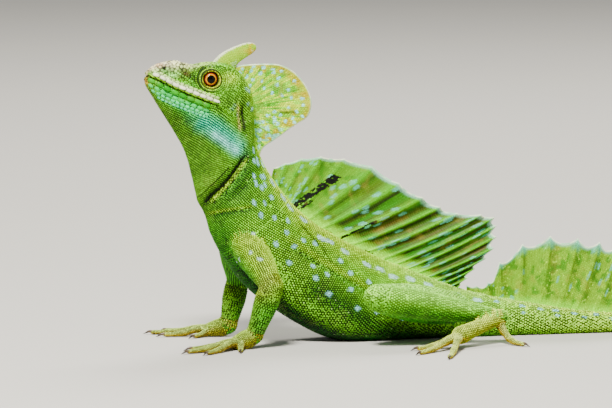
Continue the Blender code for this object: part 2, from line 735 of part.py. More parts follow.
def keep_surface(thing, number=0, among=1):
    """Keeps one closed surface of an object: of the largest few, the one that comes at number from the top."""
    shape = bmesh.new()
    shape.from_mesh(thing.data)
    groups = closed_surfaces(shape)
    largest = sorted(groups[:among], key=mean_height, reverse=True)
    extra = [face for group in groups if group is not largest[number] for face in group]
    bmesh.ops.delete(shape, geom=extra, context="FACES")
    shape.to_mesh(thing.data)
    shape.free()
    return thing


def finish_object(thing, parent, posed=True):
    """Poses an object, sets the origin under the middle of the box, and turns millimetres into metres."""
    points = np.array([vert.co[:] for vert in thing.data.vertices])
    if posed:
        points = pose(points)
    points = (points - np.array((*BOX_MIDDLE, 0.0))) * MM
    thing.data.vertices.foreach_set("co", points.astype(np.float32).ravel())
    thing.data.shade_smooth()
    thing.data.set_sharp_from_angle(angle=math.radians(50.0))
    thing.data.update()
    thing.parent = parent


def build_head(parent):
    """The head and the lower jaw, parted at the mouth, and the eyes."""
    skull = make_object("skull", swell_head(body_length("skull")), "leaf green")
    beads = [lip_line(offset, side) for offset in (LIP_FROM_MOUTH, -LIP_FROM_MOUTH) for side in (-1, 1)]
    lids = [lid_ring(side) for side in (-1, 1)]
    combine(skull, "UNION", beads + lids)
    sockets = []
    for side in (-1, 1):
        centre = (EYE_PLACE[0], side * EYE_PLACE[1], EYE_PLACE[2])
        sockets.append(ball(centre, [EYE_RADIUS + GAP] * 3))
        nostril_y = side * skin_beside(*NOSTRIL_PLACE)
        sockets.append(ball((NOSTRIL_PLACE[0], nostril_y, NOSTRIL_PLACE[1]), NOSTRIL_RADII, 6, 8))
        ear_y = side * (skin_beside(*EAR_PLACE) + 0.3)
        sockets.append(ball((EAR_PLACE[0], ear_y, EAR_PLACE[1]), EAR_RADII, 6, 12))
        eye = make_object(
            "eye_left" if side < 0 else "eye_right", ball(centre, [EYE_RADIUS] * 3), "eye orange"
        )
        finish_object(eye, parent)
    combine(skull, "DIFFERENCE", sockets)
    combine(skull, "DIFFERENCE", [mouth_cutter()])
    jaw = skull.copy()
    jaw.data = skull.data.copy()
    jaw.name = "lower_jaw"
    skull.name = "head"
    bpy.context.scene.collection.objects.link(jaw)
    keep_surface(skull, 0, 2)
    keep_surface(jaw, 1, 2)
    jaw.data.materials.clear()
    jaw.data.materials.append(make_material("jaw turquoise"))
    finish_object(skull, parent)
    finish_object(jaw, parent)


def cut_clear(thing, names):
    """Cuts an object clear of the lengths of the body that it grows from."""
    return keep_surface(combine(thing, "DIFFERENCE", [grown_length(name) for name in names]))


def build_crests(parent):
    """The crests on the head, and the sails on the back and the tail."""
    crest = make_object("head_casque", casque(), "casque yellow green")
    finish_object(cut_clear(crest, ("skull", "neck")), parent)

    front = make_object("head_lobe", lobe(), "casque yellow green")
    combine(front, "DIFFERENCE", [casque(GAP)])
    finish_object(cut_clear(front, ("skull",)), parent)

    back = make_object("back_sail", sail(SAIL_RAYS, 0, len(SAIL_RAYS) - 1, 6, SCALLOPS), "sail green")
    finish_object(cut_clear(back, ("neck", "torso")), parent)

    rays = tail_sail_rays()
    spans = (("tail_sail_front", 0, TAIL_SAIL_PARTING), ("tail_sail_rear", TAIL_SAIL_PARTING, len(rays) - 1))
    for name, first, last in spans:
        crest = make_object(name, sail(rays, first, last, 5, TAIL_SCALLOPS), "sail green")
        if first:
            combine(crest, "DIFFERENCE", [parting_cutter(rays, first)])
        finish_object(cut_clear(crest, ("torso", "tail_base", "tail_second", "tail_third")), parent)


def parting_cutter(rays, number):
    """A thin slab along one ray, to leave the gap between two lengths of sail."""
    x, length, slope = rays[number]
    foot = Vector((x, 0.0, float(back_line(x))))
    along = Vector((math.cos(math.radians(slope)), 0.0, math.sin(math.radians(slope))))
    shape = bmesh.new()
    bmesh.ops.create_cube(shape, size=2.0)
    across = Vector((along.z, 0.0, -along.x))
    for vert in shape.verts:
        side, width, rise = vert.co
        vert.co = foot + across * side * GAP * 2 + Vector((0.0, width * 8.0, 0.0)) + along * rise * (length + 12.0)
    return face_outward(shape)


def build_body(parent):
    """The neck, the torso and the lengths of the tail."""
    colours = {"neck": "throat green", "torso": "flank green"}
    for name in list(BODY_LENGTHS)[1:]:
        shape = move_points(body_length(name), drop_to_floor)
        finish_object(make_object(name, shape, colours.get(name, "leaf green")), parent)


def build_arm(parent, side, joints):
    """One arm: upper arm, forearm and hand."""
    word = "left" if side < 0 else "right"
    shoulder, elbow, wrist = (to_side(joints[name], side) for name in ("shoulder", "elbow", "wrist"))
    heading = heading_of(HAND_TURN, side)
    palm_end = wrist + Vector((math.cos(heading), math.sin(heading), -0.4)) * HAND_REACH

    upper = limb_length(shoulder, elbow, UPPER_ARM_RADII)
    upper = make_object(f"upper_arm_{word}", mitre(upper, elbow, shoulder, wrist), "leaf green")
    finish_object(cut_clear(upper, ("neck", "torso")), parent, posed=False)

    lower = mitre(limb_length(elbow, wrist, FOREARM_RADII), elbow, wrist, shoulder)
    lower = mitre(lower, wrist, elbow, palm_end)
    finish_object(make_object(f"forearm_{word}", lower, "limb olive"), parent, posed=False)

    pieces = hand_pieces(joints, side)
    hand = make_object(f"hand_{word}", pieces[0], "toe grey green")
    combine(hand, "UNION", pieces[1:])
    cut_hand(hand, wrist, palm_end, elbow)
    finish_object(keep_surface(hand), parent, posed=False)


def cut_hand(thing, joint, own_end, other_end):
    """Trims a hand or foot at its joint and at the floor."""
    shape = bmesh.new()
    shape.from_mesh(thing.data)
    mitre(shape, joint, own_end, other_end)
    trim(shape, (0.0, 0.0, 0.0), (0.0, 0.0, -1.0))
    shape.to_mesh(thing.data)
    shape.free()


def build_leg(parent, side, joints):
    """One leg: thigh, shank and foot."""
    word = "left" if side < 0 else "right"
    hip, knee, ankle = (to_side(joints[name], side) for name in ("hip", "knee", "ankle"))
    heading = heading_of(FOOT_TURN, side)
    foot_end = ankle + Vector((math.cos(heading), math.sin(heading), 0.0)) * FOOT_REACH
    foot_end.z = FOOT_HEIGHT

    thigh = mitre(limb_length(hip, knee, THIGH_RADII, reference=(0.0, 0.0, 1.0)), knee, hip, ankle)
    thigh = make_object(f"thigh_{word}", thigh, "leaf green")
    finish_object(cut_clear(thigh, ("torso", "tail_base")), parent, posed=False)

    shank = mitre(limb_length(knee, ankle, SHANK_RADII, reference=(0.0, 0.0, 1.0)), knee, ankle, hip)
    shank = mitre(shank, ankle, knee, foot_end)
    finish_object(make_object(f"shank_{word}", shank, "leaf green"), parent, posed=False)

    pieces = foot_pieces(joints, side)
    foot = make_object(f"foot_{word}", pieces[0], "toe grey green")
    combine(foot, "UNION", pieces[1:])
    cut_hand(foot, ankle, foot_end, knee)
    finish_object(keep_surface(foot), parent, posed=False)


def main():
    """Clears the scene and builds the animal part by part."""
    for thing in list(bpy.data.objects):
        bpy.data.objects.remove(thing)
    basilisk = bpy.data.objects.new("basilisk", None)
    bpy.context.scene.collection.objects.link(basilisk)
    build_head(basilisk)
    build_body(basilisk)
    build_crests(basilisk)
    for side, arm, leg in zip((-1, 1), ARM_JOINTS, LEG_JOINTS):
        build_arm(basilisk, side, arm)
        build_leg(basilisk, side, leg)


main()
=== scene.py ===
"""Green basilisk propped on its hands: a skin, scales, crests, sails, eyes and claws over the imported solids.

The animal faces -X with its left side towards -Y and stands on Z = 0. Lengths are millimetres until a piece is
finished, when it is posed and turned into metres in the frame of the solids.
"""

import logging
import math
from collections.abc import Callable, Sequence
from dataclasses import dataclass, field, replace
from enum import Enum, IntEnum
from itertools import product

import bmesh
import bpy
import numpy as np
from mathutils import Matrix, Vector
from mathutils.bvhtree import BVHTree
from mathutils.kdtree import KDTree


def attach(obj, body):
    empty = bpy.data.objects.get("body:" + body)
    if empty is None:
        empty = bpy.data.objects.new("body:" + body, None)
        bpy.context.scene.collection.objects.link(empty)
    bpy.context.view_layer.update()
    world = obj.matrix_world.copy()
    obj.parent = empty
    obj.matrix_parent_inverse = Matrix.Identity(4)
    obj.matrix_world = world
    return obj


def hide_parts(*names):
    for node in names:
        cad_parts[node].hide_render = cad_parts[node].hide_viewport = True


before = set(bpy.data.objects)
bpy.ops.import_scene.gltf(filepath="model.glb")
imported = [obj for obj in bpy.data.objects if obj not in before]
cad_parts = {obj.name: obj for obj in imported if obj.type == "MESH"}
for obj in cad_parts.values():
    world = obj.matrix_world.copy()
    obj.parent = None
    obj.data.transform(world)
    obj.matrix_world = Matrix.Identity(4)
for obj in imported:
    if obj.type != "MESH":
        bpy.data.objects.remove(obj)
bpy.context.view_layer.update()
LOG = logging.getLogger("basilisk")

Array = np.ndarray
Colour = tuple[float, float, float]
Point = tuple[float, float, float]
Line = tuple[tuple[float, float], ...]
Surface = Callable[[Array, Array], Array]

MM = 0.001
FULL_TURN = 2 * math.pi
UPRIGHT = (0.0, 0.0, 1.0)
BOX_MIDDLE = np.array((230.26, -0.5, 0.0))
SPOT_SEED, ARM_SPOT_SEED, COAT_SEED, SHEET_SEED, DASH_SEED, CREST_SPOT_SEED = 11, 12, 16, 20, 32, 42

# Numbers that the soft noise is hashed with.
HASH_CELL = (73856093, 19349663, 83492791)
HASH_PATTERN, HASH_FIRST, HASH_SECOND = 97911, 6364136223846793005, 1442695040888963407
HASH_FOLD, HASH_SHIFT, HASH_TOP = 29, 40, 0xFFFF

HEAD_TURN = 8.0
NECK_AXIS_X = -33.0
NECK_LOW = np.array((-35.0, 72.0))
NECK_RISE = np.array((-0.5, 0.866))
TURN_SPAN = (5.0, 35.0)
TAIL_STRAIGHT_TO = 150.0
TAIL_SWING = 26.0
TAIL_WAVE = 470.0
TAIL_TIP_X = 566.0

# Stations of the trunk: where each plane meets the back and the underside, as (x, z), the half width, how square
# the upper and lower halves are, and how far above the middle the widest level is.
STATIONS = (
    ("nose", (-82.6, 135.4), (-83.0, 131.6), 1.6, 2.2, 2.2, 0.0),
    ("lips", (-81.4, 137.6), (-82.5, 128.8), 3.4, 2.4, 2.2, 0.0),
    ("nostrils", (-76.2, 140.3), (-79.4, 124.0), 5.4, 2.6, 2.0, 0.0),
    ("muzzle", (-67.0, 140.5), (-74.4, 115.8), 7.6, 2.8, 1.7, 0.1),
    ("brow", (-58.0, 139.8), (-69.2, 107.8), 9.8, 2.8, 1.5, 0.15),
    ("eyes", (-49.5, 140.6), (-64.6, 99.8), 11.6, 2.5, 1.4, 0.2),
    ("temple", (-40.5, 139.4), (-61.4, 92.6), 13.0, 2.3, 1.4, 0.3),
    ("jaw joint", (-32.8, 133.2), (-59.4, 86.4), 13.2, 2.2, 1.5, 0.35),
    ("ears", (-28.4, 123.4), (-57.8, 80.4), 12.4, 2.1, 1.6, 0.35),
    ("neck", (-27.0, 111.6), (-56.4, 75.2), 11.4, 2.0, 1.7, 0.3),
    ("throat", (-26.0, 101.0), (-55.0, 70.4), 11.2, 2.0, 1.8, 0.25),
    ("nape", (-23.2, 92.4), (-51.4, 64.0), 12.0, 1.9, 1.9, 0.2),
    ("shoulders", (-17.0, 81.6), (-48.4, 54.4), 14.2, 1.8, 2.1, 0.1),
    ("chest", (-7.0, 68.8), (-41.4, 41.6), 16.2, 1.7, 2.2, 0.0),
    ("ribs", (5.0, 58.6), (-28.0, 25.2), 17.8, 1.7, 2.3, -0.1),
    ("flank", (20.0, 49.8), (-6.0, 9.6), 18.8, 1.7, 2.4, -0.15),
    ("belly", (36.0, 41.6), (15.0, 0.2), 18.8, 1.7, 2.4, -0.2),
    ("loin", (52.0, 35.0), (37.0, -0.8), 17.0, 1.7, 2.3, -0.2),
    ("pelvis", (68.0, 28.4), (58.0, -0.8), 14.2, 1.8, 2.2, -0.15),
    ("vent", (82.0, 23.4), (77.0, -0.8), 11.2, 1.9, 2.2, -0.1),
    ("tail root", (97.0, 19.8), (95.0, -0.8), 9.0, 2.0, 2.1, 0.0),
    ("tail crest", (117.0, 16.0), (116.5, -0.7), 7.4, 2.0, 2.1, 0.0),
    ("tail bend", (140.0, 12.0), (140.0, -0.6), 6.0, 2.0, 2.1, 0.0),
    ("second length", (170.0, 9.4), (170.0, -0.5), 4.8, 2.0, 2.1, 0.0),
    ("crest end", (230.0, 7.6), (230.0, -0.4), 3.8, 2.0, 2.1, 0.0),
    ("third length", (310.0, 5.8), (310.0, -0.35), 2.9, 2.0, 2.1, 0.0),
    ("fourth length", (400.0, 4.0), (400.0, -0.3), 2.0, 2.0, 2.1, 0.0),
    ("whip", (490.0, 2.4), (490.0, -0.25), 1.2, 2.0, 2.1, 0.0),
    ("tail tip", (TAIL_TIP_X, 1.0), (TAIL_TIP_X, -0.2), 0.5, 2.0, 2.1, 0.0),
)
STATION_NUMBER = {row[0]: number for number, row in enumerate(STATIONS)}

MOUTH_LINE = ((-83.5, 134.7), (-79.2, 133.1), (-73.7, 130.0), (-68.6, 127.4), (-58.0, 122.9), (-50.0, 119.8))
EYE_PLACE = (-52.1, 6.9, 132.7)
EYE_RADIUS = 4.7
LID_PLACE, LID_DEPTH, LID_RING_RADIUS, LID_RADIUS = 8.8, 2.4, 4.75, 0.95
NOSTRIL_PLACE = (-74.6, 138.0)
EAR_PLACE = (-37.2, 114.4)
THROAT_FOLD = ((-32.8, 95.9), (-36.9, 89.4), (-40.9, 83.4), (-45.7, 77.8), (-49.3, 74.4), (-53.2, 68.0))
SHOULDER_FOLD = ((-50.5, 64.2), (-43.0, 66.4), (-35.7, 67.7), (-29.1, 68.6))
FLANK_FOLD = ((-14.0, 51.5), (4.0, 39.5), (26.0, 26.5), (48.0, 14.0))

CASQUE_HUB = (-40.0, 116.0)
CASQUE_REACH = (
    (82.5, 21.1), (62.7, 25.1), (49.1, 29.7), (36.7, 35.7), (21.1, 41.0), (6.5, 43.3), (-4.8, 41.4),
    (-11.7, 36.4), (-19.0, 32.2), (-30.5, 28.7), (-42.3, 26.4), (-51.0, 26.8), (-59.2, 30.2),
)
LOBE_STATIONS = (
    ((-45.5, 133.5), 6.4, 2.4),
    ((-41.0, 139.5), 5.6, 2.1),
    ((-36.5, 143.2), 4.3, 1.6),
    ((-31.0, 145.8), 3.5, 1.2),
    ((-27.2, 147.0), 2.6, 0.9),
    ((-25.2, 147.4), 1.2, 0.5),
)

# Rays of the sails: where each leaves the back, its length and how steeply it rises.
SAIL_RAYS = (
    (-17.5, 4.5, 76.0), (-14.5, 11.5, 68.0), (-11.2, 19.5, 63.0), (-7.7, 27.0, 56.0), (-3.6, 34.0, 47.0),
    (1.5, 41.0, 37.5), (8.2, 44.5, 28.5), (16.5, 46.8, 23.5), (23.5, 48.5, 21.0), (31.0, 50.0, 21.0),
    (39.0, 54.5, 22.5), (45.8, 55.0, 23.5), (51.8, 50.0, 23.5), (57.3, 43.5, 23.0), (62.4, 36.0, 22.0),
    (67.0, 27.0, 22.0), (71.1, 17.0, 23.0), (74.8, 9.0, 25.0), (77.5, 2.0, 40.0),
)
TAIL_SAIL_RAYS = (
    (82.5, 2.0, 90.0), (88.0, 3.0, 90.0), (93.5, 6.0, 90.0), (99.5, 17.5, 91.0), (109.5, 28.0, 86.0),
    (120.0, 34.2, 80.0), (130.0, 35.7, 74.0), (139.0, 35.7, 70.0), (149.0, 34.5, 68.0),
)
TAIL_SAIL_SPACING, TAIL_SAIL_MORE_RAYS, TAIL_SAIL_LAST = 12.0, 14, (1.5, 42.0)
SAIL_ROOT_DEPTH = 3.2

ARM_JOINTS = (
    {"shoulder": (-33.5, 7.5, 52.5), "elbow": (-23.5, 31.0, 31.2), "wrist": (-31.8, 26.5, 6.4)},
    {"shoulder": (-34.5, 7.5, 52.5), "elbow": (-29.5, 26.0, 27.6), "wrist": (-35.2, 22.5, 5.6)},
)
LEG_JOINTS = (
    {"hip": (74.0, 8.5, 15.0), "knee": (28.0, 38.5, 25.0), "ankle": (92.0, 32.0, 13.2)},
    {"hip": (74.0, 8.5, 15.0), "knee": (30.0, 39.0, 24.0), "ankle": (92.0, 31.0, 12.6)},
)
UPPER_ARM_RADII = (8.4, 8.6, 7.2, 5.5)
FOREARM_RADII = (5.6, 6.1, 5.2, 4.2)
THIGH_RADII = (8.2, 9.4, 8.8, 6.8)
SHANK_RADII = (6.8, 7.0, 5.4, 3.4)
HAND_REACH, HAND_TURN, PALM_RADII, PALM_HEIGHT = 8.5, 14.0, (4.2, 5.0, 4.6), 2.9
FINGERS = ((-36.0, 14.0), (2.0, 24.0), (25.0, 31.0), (45.0, 28.0), (78.0, 15.0))
FOOT_TURN, FOOT_REACH, FOOT_HEIGHT, SOLE_RADII = 30.0, 27.0, 6.2, (3.9, 3.7, 4.6)
TOES = ((2.0, 15.0), (16.0, 24.0), (42.0, 34.0), (70.0, 44.0), (122.0, 17.0))
TOE_HEIGHTS = (5.6, 5.4, 4.2, 2.4, 1.4, 1.15)
HEEL_TOE_HEIGHTS = (10.2, 6.6, 3.4, 2.0, 1.35, 1.15)
DIGIT_RADII = (2.3, 2.1, 1.75, 1.6, 1.5, 1.25)
DIGIT_HEIGHTS = (3.2, 3.9, 3.3, 2.0, 1.35, 1.15)
LONG_DIGIT = 20.0
CLAW_LENGTH, CLAW_ROOT = 4.0, 1.1
# The rounded end of a limb: how far before its joint each ring lies and how wide it is, in radii of the joint.
LIMB_END = ((1.0, 0.05), (0.97, 0.26), (0.85, 0.53), (0.5, 0.866))
# The rounded end of a digit: how far past it each ring lies, and how wide it is in radii of its last joint.
DIGIT_END = ((0.55, 0.85), (0.95, 0.5), (1.15, 0.08))
# The least half width that the trunk and the tubes are drawn in to, and how close points are welded.
LEAST_TRUNK, LEAST_TUBE, WELD = 0.05, 0.03, 1e-4

PAINT_PURITY = 1.28
PALE_BLUE = (0.46, 0.96, 1.0)
TAIL_BANDS = 26.0
# Pale spots on the cheek and the temple, as (x, z).
CHEEK_SPOTS = (
    (-41.4, 120.0), (-42.7, 118.0), (-39.6, 115.0), (-34.1, 127.4), (-32.1, 126.2), (-33.7, 120.0),
    (-30.8, 117.3),
)

# Colours of the trunk at each station, on the back, the side and the underside.
TRUNK_TINTS = (
    # Pale cream on top of the snout: partly its own colour, partly painted highlight along its top.
    ("nose", (0.80, 0.66, 0.44), (0.24, 0.44, 0.06), (0.20, 0.34, 0.02)),
    ("nostrils", (0.82, 0.76, 0.50), (0.16, 0.44, 0.04), (0.14, 0.32, 0.0)),
    ("muzzle", (0.50, 0.62, 0.16), (0.11, 0.35, 0.01), (0.11, 0.28, 0.0)),
    ("brow", (0.18, 0.46, 0.01), (0.12, 0.42, 0.0), (0.10, 0.27, 0.0)),
    ("eyes", (0.16, 0.48, 0.0), (0.14, 0.44, 0.0), (0.10, 0.27, 0.0)),
    ("temple", (0.19, 0.50, 0.0), (0.17, 0.48, 0.0), (0.10, 0.27, 0.0)),
    ("ears", (0.25, 0.58, 0.0), (0.15, 0.43, 0.0), (0.10, 0.27, 0.0)),
    ("neck", (0.42, 0.84, 0.04), (0.15, 0.40, 0.004), (0.12, 0.30, 0.0)),
    ("nape", (0.56, 1.00, 0.10), (0.12, 0.40, 0.004), (0.10, 0.30, 0.0)),
    ("shoulders", (0.64, 1.00, 0.16), (0.28, 0.78, 0.012), (0.08, 0.34, 0.0)),
    # The near-black undersides of the ribs, the belly and the pelvis: the belly's darker green with painted
    # shadow laid in.
    ("ribs", (0.66, 1.00, 0.16), (0.36, 0.88, 0.03), (0.010, 0.10, 0.0)),
    ("belly", (0.58, 1.00, 0.14), (0.30, 0.80, 0.01), (0.004, 0.04, 0.0)),
    ("pelvis", (0.56, 1.00, 0.20), (0.42, 1.00, 0.12), (0.005, 0.04, 0.0)),
    ("tail root", (0.60, 1.00, 0.22), (0.48, 1.00, 0.16), (0.14, 0.42, 0.02)),
    ("second length", (0.70, 1.00, 0.18), (0.56, 1.00, 0.16), (0.30, 0.56, 0.06)),
    ("fourth length", (0.42, 0.58, 0.10), (0.38, 0.54, 0.10), (0.30, 0.40, 0.10)),
    ("tail tip", (0.28, 0.32, 0.12), (0.26, 0.30, 0.12), (0.24, 0.27, 0.12)),
)


class Side(Enum):
    """The two sides of the animal, as the sign of Y."""

    LEFT = -1
    RIGHT = 1

    @property
    def word(self) -> str:
        """The side's name in small letters."""
        return self.name.lower()


class Slot(Enum):
    """The record's material slots."""

    LEAF = "leaf_green"
    FLANK = "flank_green"
    THROAT = "throat_green"
    JAW = "jaw_turquoise"
    SAIL = "sail_green"
    CASQUE = "casque_yellow_green"
    LIMB = "limb_olive"
    TOE = "toe_grey_green"
    EYE = "eye_orange"


class Pattern(IntEnum):
    """The patterns of soft noise."""

    CLOUDS = 3
    STREAKS = 4
    SPOT_EDGES = 5
    FINE_CREASES = 21
    BROAD_CREASES = 22
    RAY_STREAKS = 31
    SAIL_BLOTCHES = 33
    SAIL_SHADES = 35
    DASH_EDGES = 43
    BLACK_SCALES = 47
    CREST_STREAKS = 51
    CREST_RUST = 53
    CREST_SPOT_EDGES = 57
    CREST_BLUE = 59
    LOBE_RUST = 61
    LOBE_PALE = 63
    RIM_SHADES = 71


# Arithmetic on rows of points


def smooth_step(share: Array | float, low: float = 0.0, high: float = 1.0) -> Array:
    """A gentle rise.

    Args:
        share: Where to read it.
        low: Where it leaves 0.
        high: Where it reaches 1.

    Returns:
        Values from 0 to 1.
    """
    part = np.clip((np.asarray(share, float) - low) / (high - low), 0.0, 1.0)
    return part * part * (3.0 - 2.0 * part)


def curve_through(rows: Sequence | Array, place: Array | float) -> Array:
    """A smooth curve through evenly numbered rows.

    Args:
        rows: Numbers or rows of numbers.
        place: Where to read it, counting rows from 0.

    Returns:
        One row for each place.
    """
    rows = np.asarray(rows, float)
    place = np.clip(np.asarray(place, float), 0.0, len(rows) - 1.0)
    start = np.minimum(place.astype(int), len(rows) - 2)
    part = (place - start).reshape(place.shape + (1,) * (rows.ndim - 1))
    before, after = rows[np.maximum(start - 1, 0)], rows[np.minimum(start + 2, len(rows) - 1)]
    first, second = rows[start], rows[start + 1]
    return first + 0.5 * part * (
        second - before
        + part * (2 * before - 5 * first + 4 * second - after + part * (3 * (first - second) + after - before))
    )


def unit(vectors: Array) -> Array:
    """Rows of vectors at length 1."""
    return vectors / np.maximum(np.linalg.norm(vectors, axis=-1, keepdims=True), 1e-9)


def mixed(first: Array, second: Array | Colour, share: Array | float) -> Array:
    """Rows of colours that go from first to second as share goes from 0 to 1."""
    share = np.asarray(share, float)
    share = share[..., None] if share.ndim else share
    return first + (np.asarray(second, float) - first) * share


def varied(colour: Array, scattered: Array | None, least: float, spread: float) -> Array:
    """Colours made lighter or darker from scale to scale, or left as they are on bare skin.

    Args:
        colour: Rows of colours.
        scattered: A value from 0 to 1 for each scale, or None on bare skin.
        least: The brightness at 0.
        spread: How much brighter it is at 1.

    Returns:
        The colours.
    """
    return colour if scattered is None else colour * (least + spread * scattered)[:, None]


def plain(colour: Colour, points: Array) -> Array:
    """The same colour for every point."""
    return np.broadcast_to(np.array(colour), points.shape)


def layered(colour: Array, *layers: tuple[Colour, Array | float]) -> Array:
    """Colours with layers laid over them in turn, each with its own colour and cover."""
    for tint, cover in layers:
        colour = mixed(colour, tint, cover)
    return colour


def half_turned(angle: Array) -> Array:
    """Angles brought to between minus and plus half a turn."""
    return (angle + math.pi) % FULL_TURN - math.pi


def run_along(points: Array) -> Array:
    """How far along a line each of its points lies."""
    return np.concatenate(([0.0], np.cumsum(np.linalg.norm(np.diff(points, axis=0), axis=1))))


def nearness(points: Array, centre: Point, reach: Point) -> Array:
    """A soft bump about a place on both sides of the animal.

    Args:
        points: Rows of x, y, z.
        centre: Its middle as (x, |y|, z).
        reach: How far it reaches along each axis.

    Returns:
        Values that fall from 1 in the middle to 0 far off.
    """
    folded = np.stack([points[:, 0], np.abs(points[:, 1]), points[:, 2]], axis=1)
    return np.exp(-(((folded - centre) / reach) ** 2).sum(axis=1))


def tree_of(points: Array) -> KDTree:
    """A search tree over rows of x, y, z."""
    tree = KDTree(len(points))
    for number, point in enumerate(points):
        tree.insert(point, number)
    tree.balance()
    return tree


def nearest(tree: KDTree, points: Array) -> Array:
    """How far each point is from the nearest one in a search tree."""
    return np.array([tree.find(point)[2] for point in points])


def thinned(points: Array, gaps: Array, cell_size: float = 2.0) -> list[int]:
    """Which of some points to keep so that no two crowd each other.

    Args:
        points: Rows of x, y, z.
        gaps: The distance that each needs, less than the size of a cell; the smaller of two counts.
        cell_size: The size of the cells that the points are sorted into.

    Returns:
        The numbers of the kept points.
    """
    kept: list[int] = []
    cells: dict[tuple[int, int, int], list[int]] = {}
    steps = tuple(product((-1, 0, 1), repeat=3))
    for number, (point, gap) in enumerate(zip(points, gaps)):
        x, y, z = (int(step) for step in point // cell_size)
        near = [other for dx, dy, dz in steps for other in cells.get((x + dx, y + dy, z + dz), ())]
        if all(np.linalg.norm(points[other] - point) > min(gaps[other], gap) for other in near):
            cells.setdefault((x, y, z), []).append(number)
            kept.append(number)
    return kept


def soft_noise(points: Array, size: Sequence[float] | float, pattern: Pattern) -> Array:
    """Smooth random values over space.

    Args:
        points: Rows of two or three coordinates.
        size: The distance over which the values change, for all coordinates or each.
        pattern: Which pattern.

    Returns:
        Values from 0 to 1.
    """
    scaled = np.asarray(points, float) / size
    cell = np.floor(scaled)
    part = smooth_step(scaled - cell)
    factors = np.array(HASH_CELL)[: scaled.shape[1]]
    total = np.zeros(len(scaled))
    for corner in np.ndindex(*(2,) * scaled.shape[1]):
        weight = np.prod(np.where(np.array(corner) == 1, part, 1 - part), axis=1)
        key = (cell + corner).astype(np.int64) @ factors + int(pattern) * HASH_PATTERN
        value = key.astype(np.uint64) * np.uint64(HASH_FIRST)
        value = (value ^ (value >> np.uint64(HASH_FOLD))) * np.uint64(HASH_SECOND)
        total += weight * ((value >> np.uint64(HASH_SHIFT)) & np.uint64(HASH_TOP)).astype(float) / HASH_TOP
    return total


def distance_to_line(points: Array, line: Line) -> tuple[Array, Array, Array]:
    """How far points lie from a broken line in the X-Z plane.

    Args:
        points: Rows of x, y, z.
        line: Corners of the line as (x, z).

    Returns:
        The distance, the signed distance (positive on the line's left, looking along it) and the share along it.
    """
    flat = points[:, [0, 2]]
    best = np.full(len(flat), 1e9)
    signed, along = np.zeros(len(flat)), np.zeros(len(flat))
    corners = np.asarray(line, float)
    lengths = np.linalg.norm(np.diff(corners, axis=0), axis=1)
    starts = np.concatenate(([0.0], np.cumsum(lengths)))
    for number, (first, second) in enumerate(zip(corners[:-1], corners[1:])):
        run = (second - first) / lengths[number]
        reach = np.clip((flat - first) @ run, 0.0, lengths[number])
        offset = flat - first - reach[:, None] * run
        away = np.linalg.norm(offset, axis=1)
        nearer = away < best
        best = np.where(nearer, away, best)
        turn = offset[:, 1] * run[0] - offset[:, 0] * run[1]
        signed = np.where(nearer, np.copysign(away, turn), signed)
        along = np.where(nearer, (starts[number] + reach) / starts[-1], along)
    return best, signed, along


def posed(points: Array) -> Array:
    """Turns the head to the left and lays the tail in its S.

    Args:
        points: Rows of x, y, z in the straight animal, in millimetres.

    Returns:
        The same rows, posed.
    """
    points = np.array(points, float)
    rise = (points[:, [0, 2]] - NECK_LOW) @ NECK_RISE
    turn = np.radians(HEAD_TURN) * smooth_step(rise, *TURN_SPAN)
    ahead, aside = points[:, 0] - NECK_AXIS_X, points[:, 1].copy()
    points[:, 0] = NECK_AXIS_X + ahead * np.cos(turn) - aside * np.sin(turn)
    points[:, 1] = ahead * np.sin(turn) + aside * np.cos(turn)
    run = np.arange(TAIL_STRAIGHT_TO, TAIL_TIP_X + 20.0, 1.0)
    heading = np.radians(TAIL_SWING) * np.sin(FULL_TURN * (run - TAIL_STRAIGHT_TO) / TAIL_WAVE)
    path_x = TAIL_STRAIGHT_TO + np.concatenate(([0.0], np.cumsum(np.cos(heading))[:-1]))
    path_y = np.concatenate(([0.0], np.cumsum(np.sin(heading))[:-1]))
    on_tail = points[:, 0] > TAIL_STRAIGHT_TO
    along, across = points[on_tail, 0], points[on_tail, 1]
    angle = np.interp(along, run, heading)
    points[on_tail, 0] = np.interp(along, run, path_x) - across * np.sin(angle)
    points[on_tail, 1] = np.interp(along, run, path_y) + across * np.cos(angle)
    return points


def in_frame(points: Array) -> Array:
    """Points of the straight animal, in millimetres, as posed points in the frame of the solids, in metres."""
    placed = (posed(points) - BOX_MIDDLE) * MM
    placed[:, 2] = np.maximum(placed[:, 2], 0.0)
    return placed


# Shader maths and finishes


class Value:
    """An output socket on which arithmetic adds Math nodes."""

    def __init__(self, tree: "Shader", socket: bpy.types.NodeSocket) -> None:
        """Wraps a socket of a shader."""
        self.tree, self.socket = tree, socket

    def _math(self, operation: str, first: "Value | float", second: "Value | float") -> "Value":
        """One Math node on two values."""
        return self.tree.node("ShaderNodeMath", {"operation": operation}, {0: first, 1: second})

    def __add__(self, other: "Value | float") -> "Value":
        """The sum."""
        return self._math("ADD", self, other)

    __radd__ = __add__

    def __sub__(self, other: "Value | float") -> "Value":
        """The difference."""
        return self._math("SUBTRACT", self, other)

    def __rsub__(self, other: float) -> "Value":
        """The difference from a number."""
        return self._math("SUBTRACT", other, self)

    def __mul__(self, other: "Value | float") -> "Value":
        """The product."""
        return self._math("MULTIPLY", self, other)

    __rmul__ = __mul__

    def __truediv__(self, other: "Value | float") -> "Value":
        """The quotient."""
        return self._math("DIVIDE", self, other)

    def ramp(self, low: float, high: float) -> "Value":
        """A smooth rise from 0 at low to 1 at high."""
        settings = {"interpolation_type": "SMOOTHSTEP"}
        return self.tree.node("ShaderNodeMapRange", settings, {"Value": self, "From Min": low, "From Max": high})


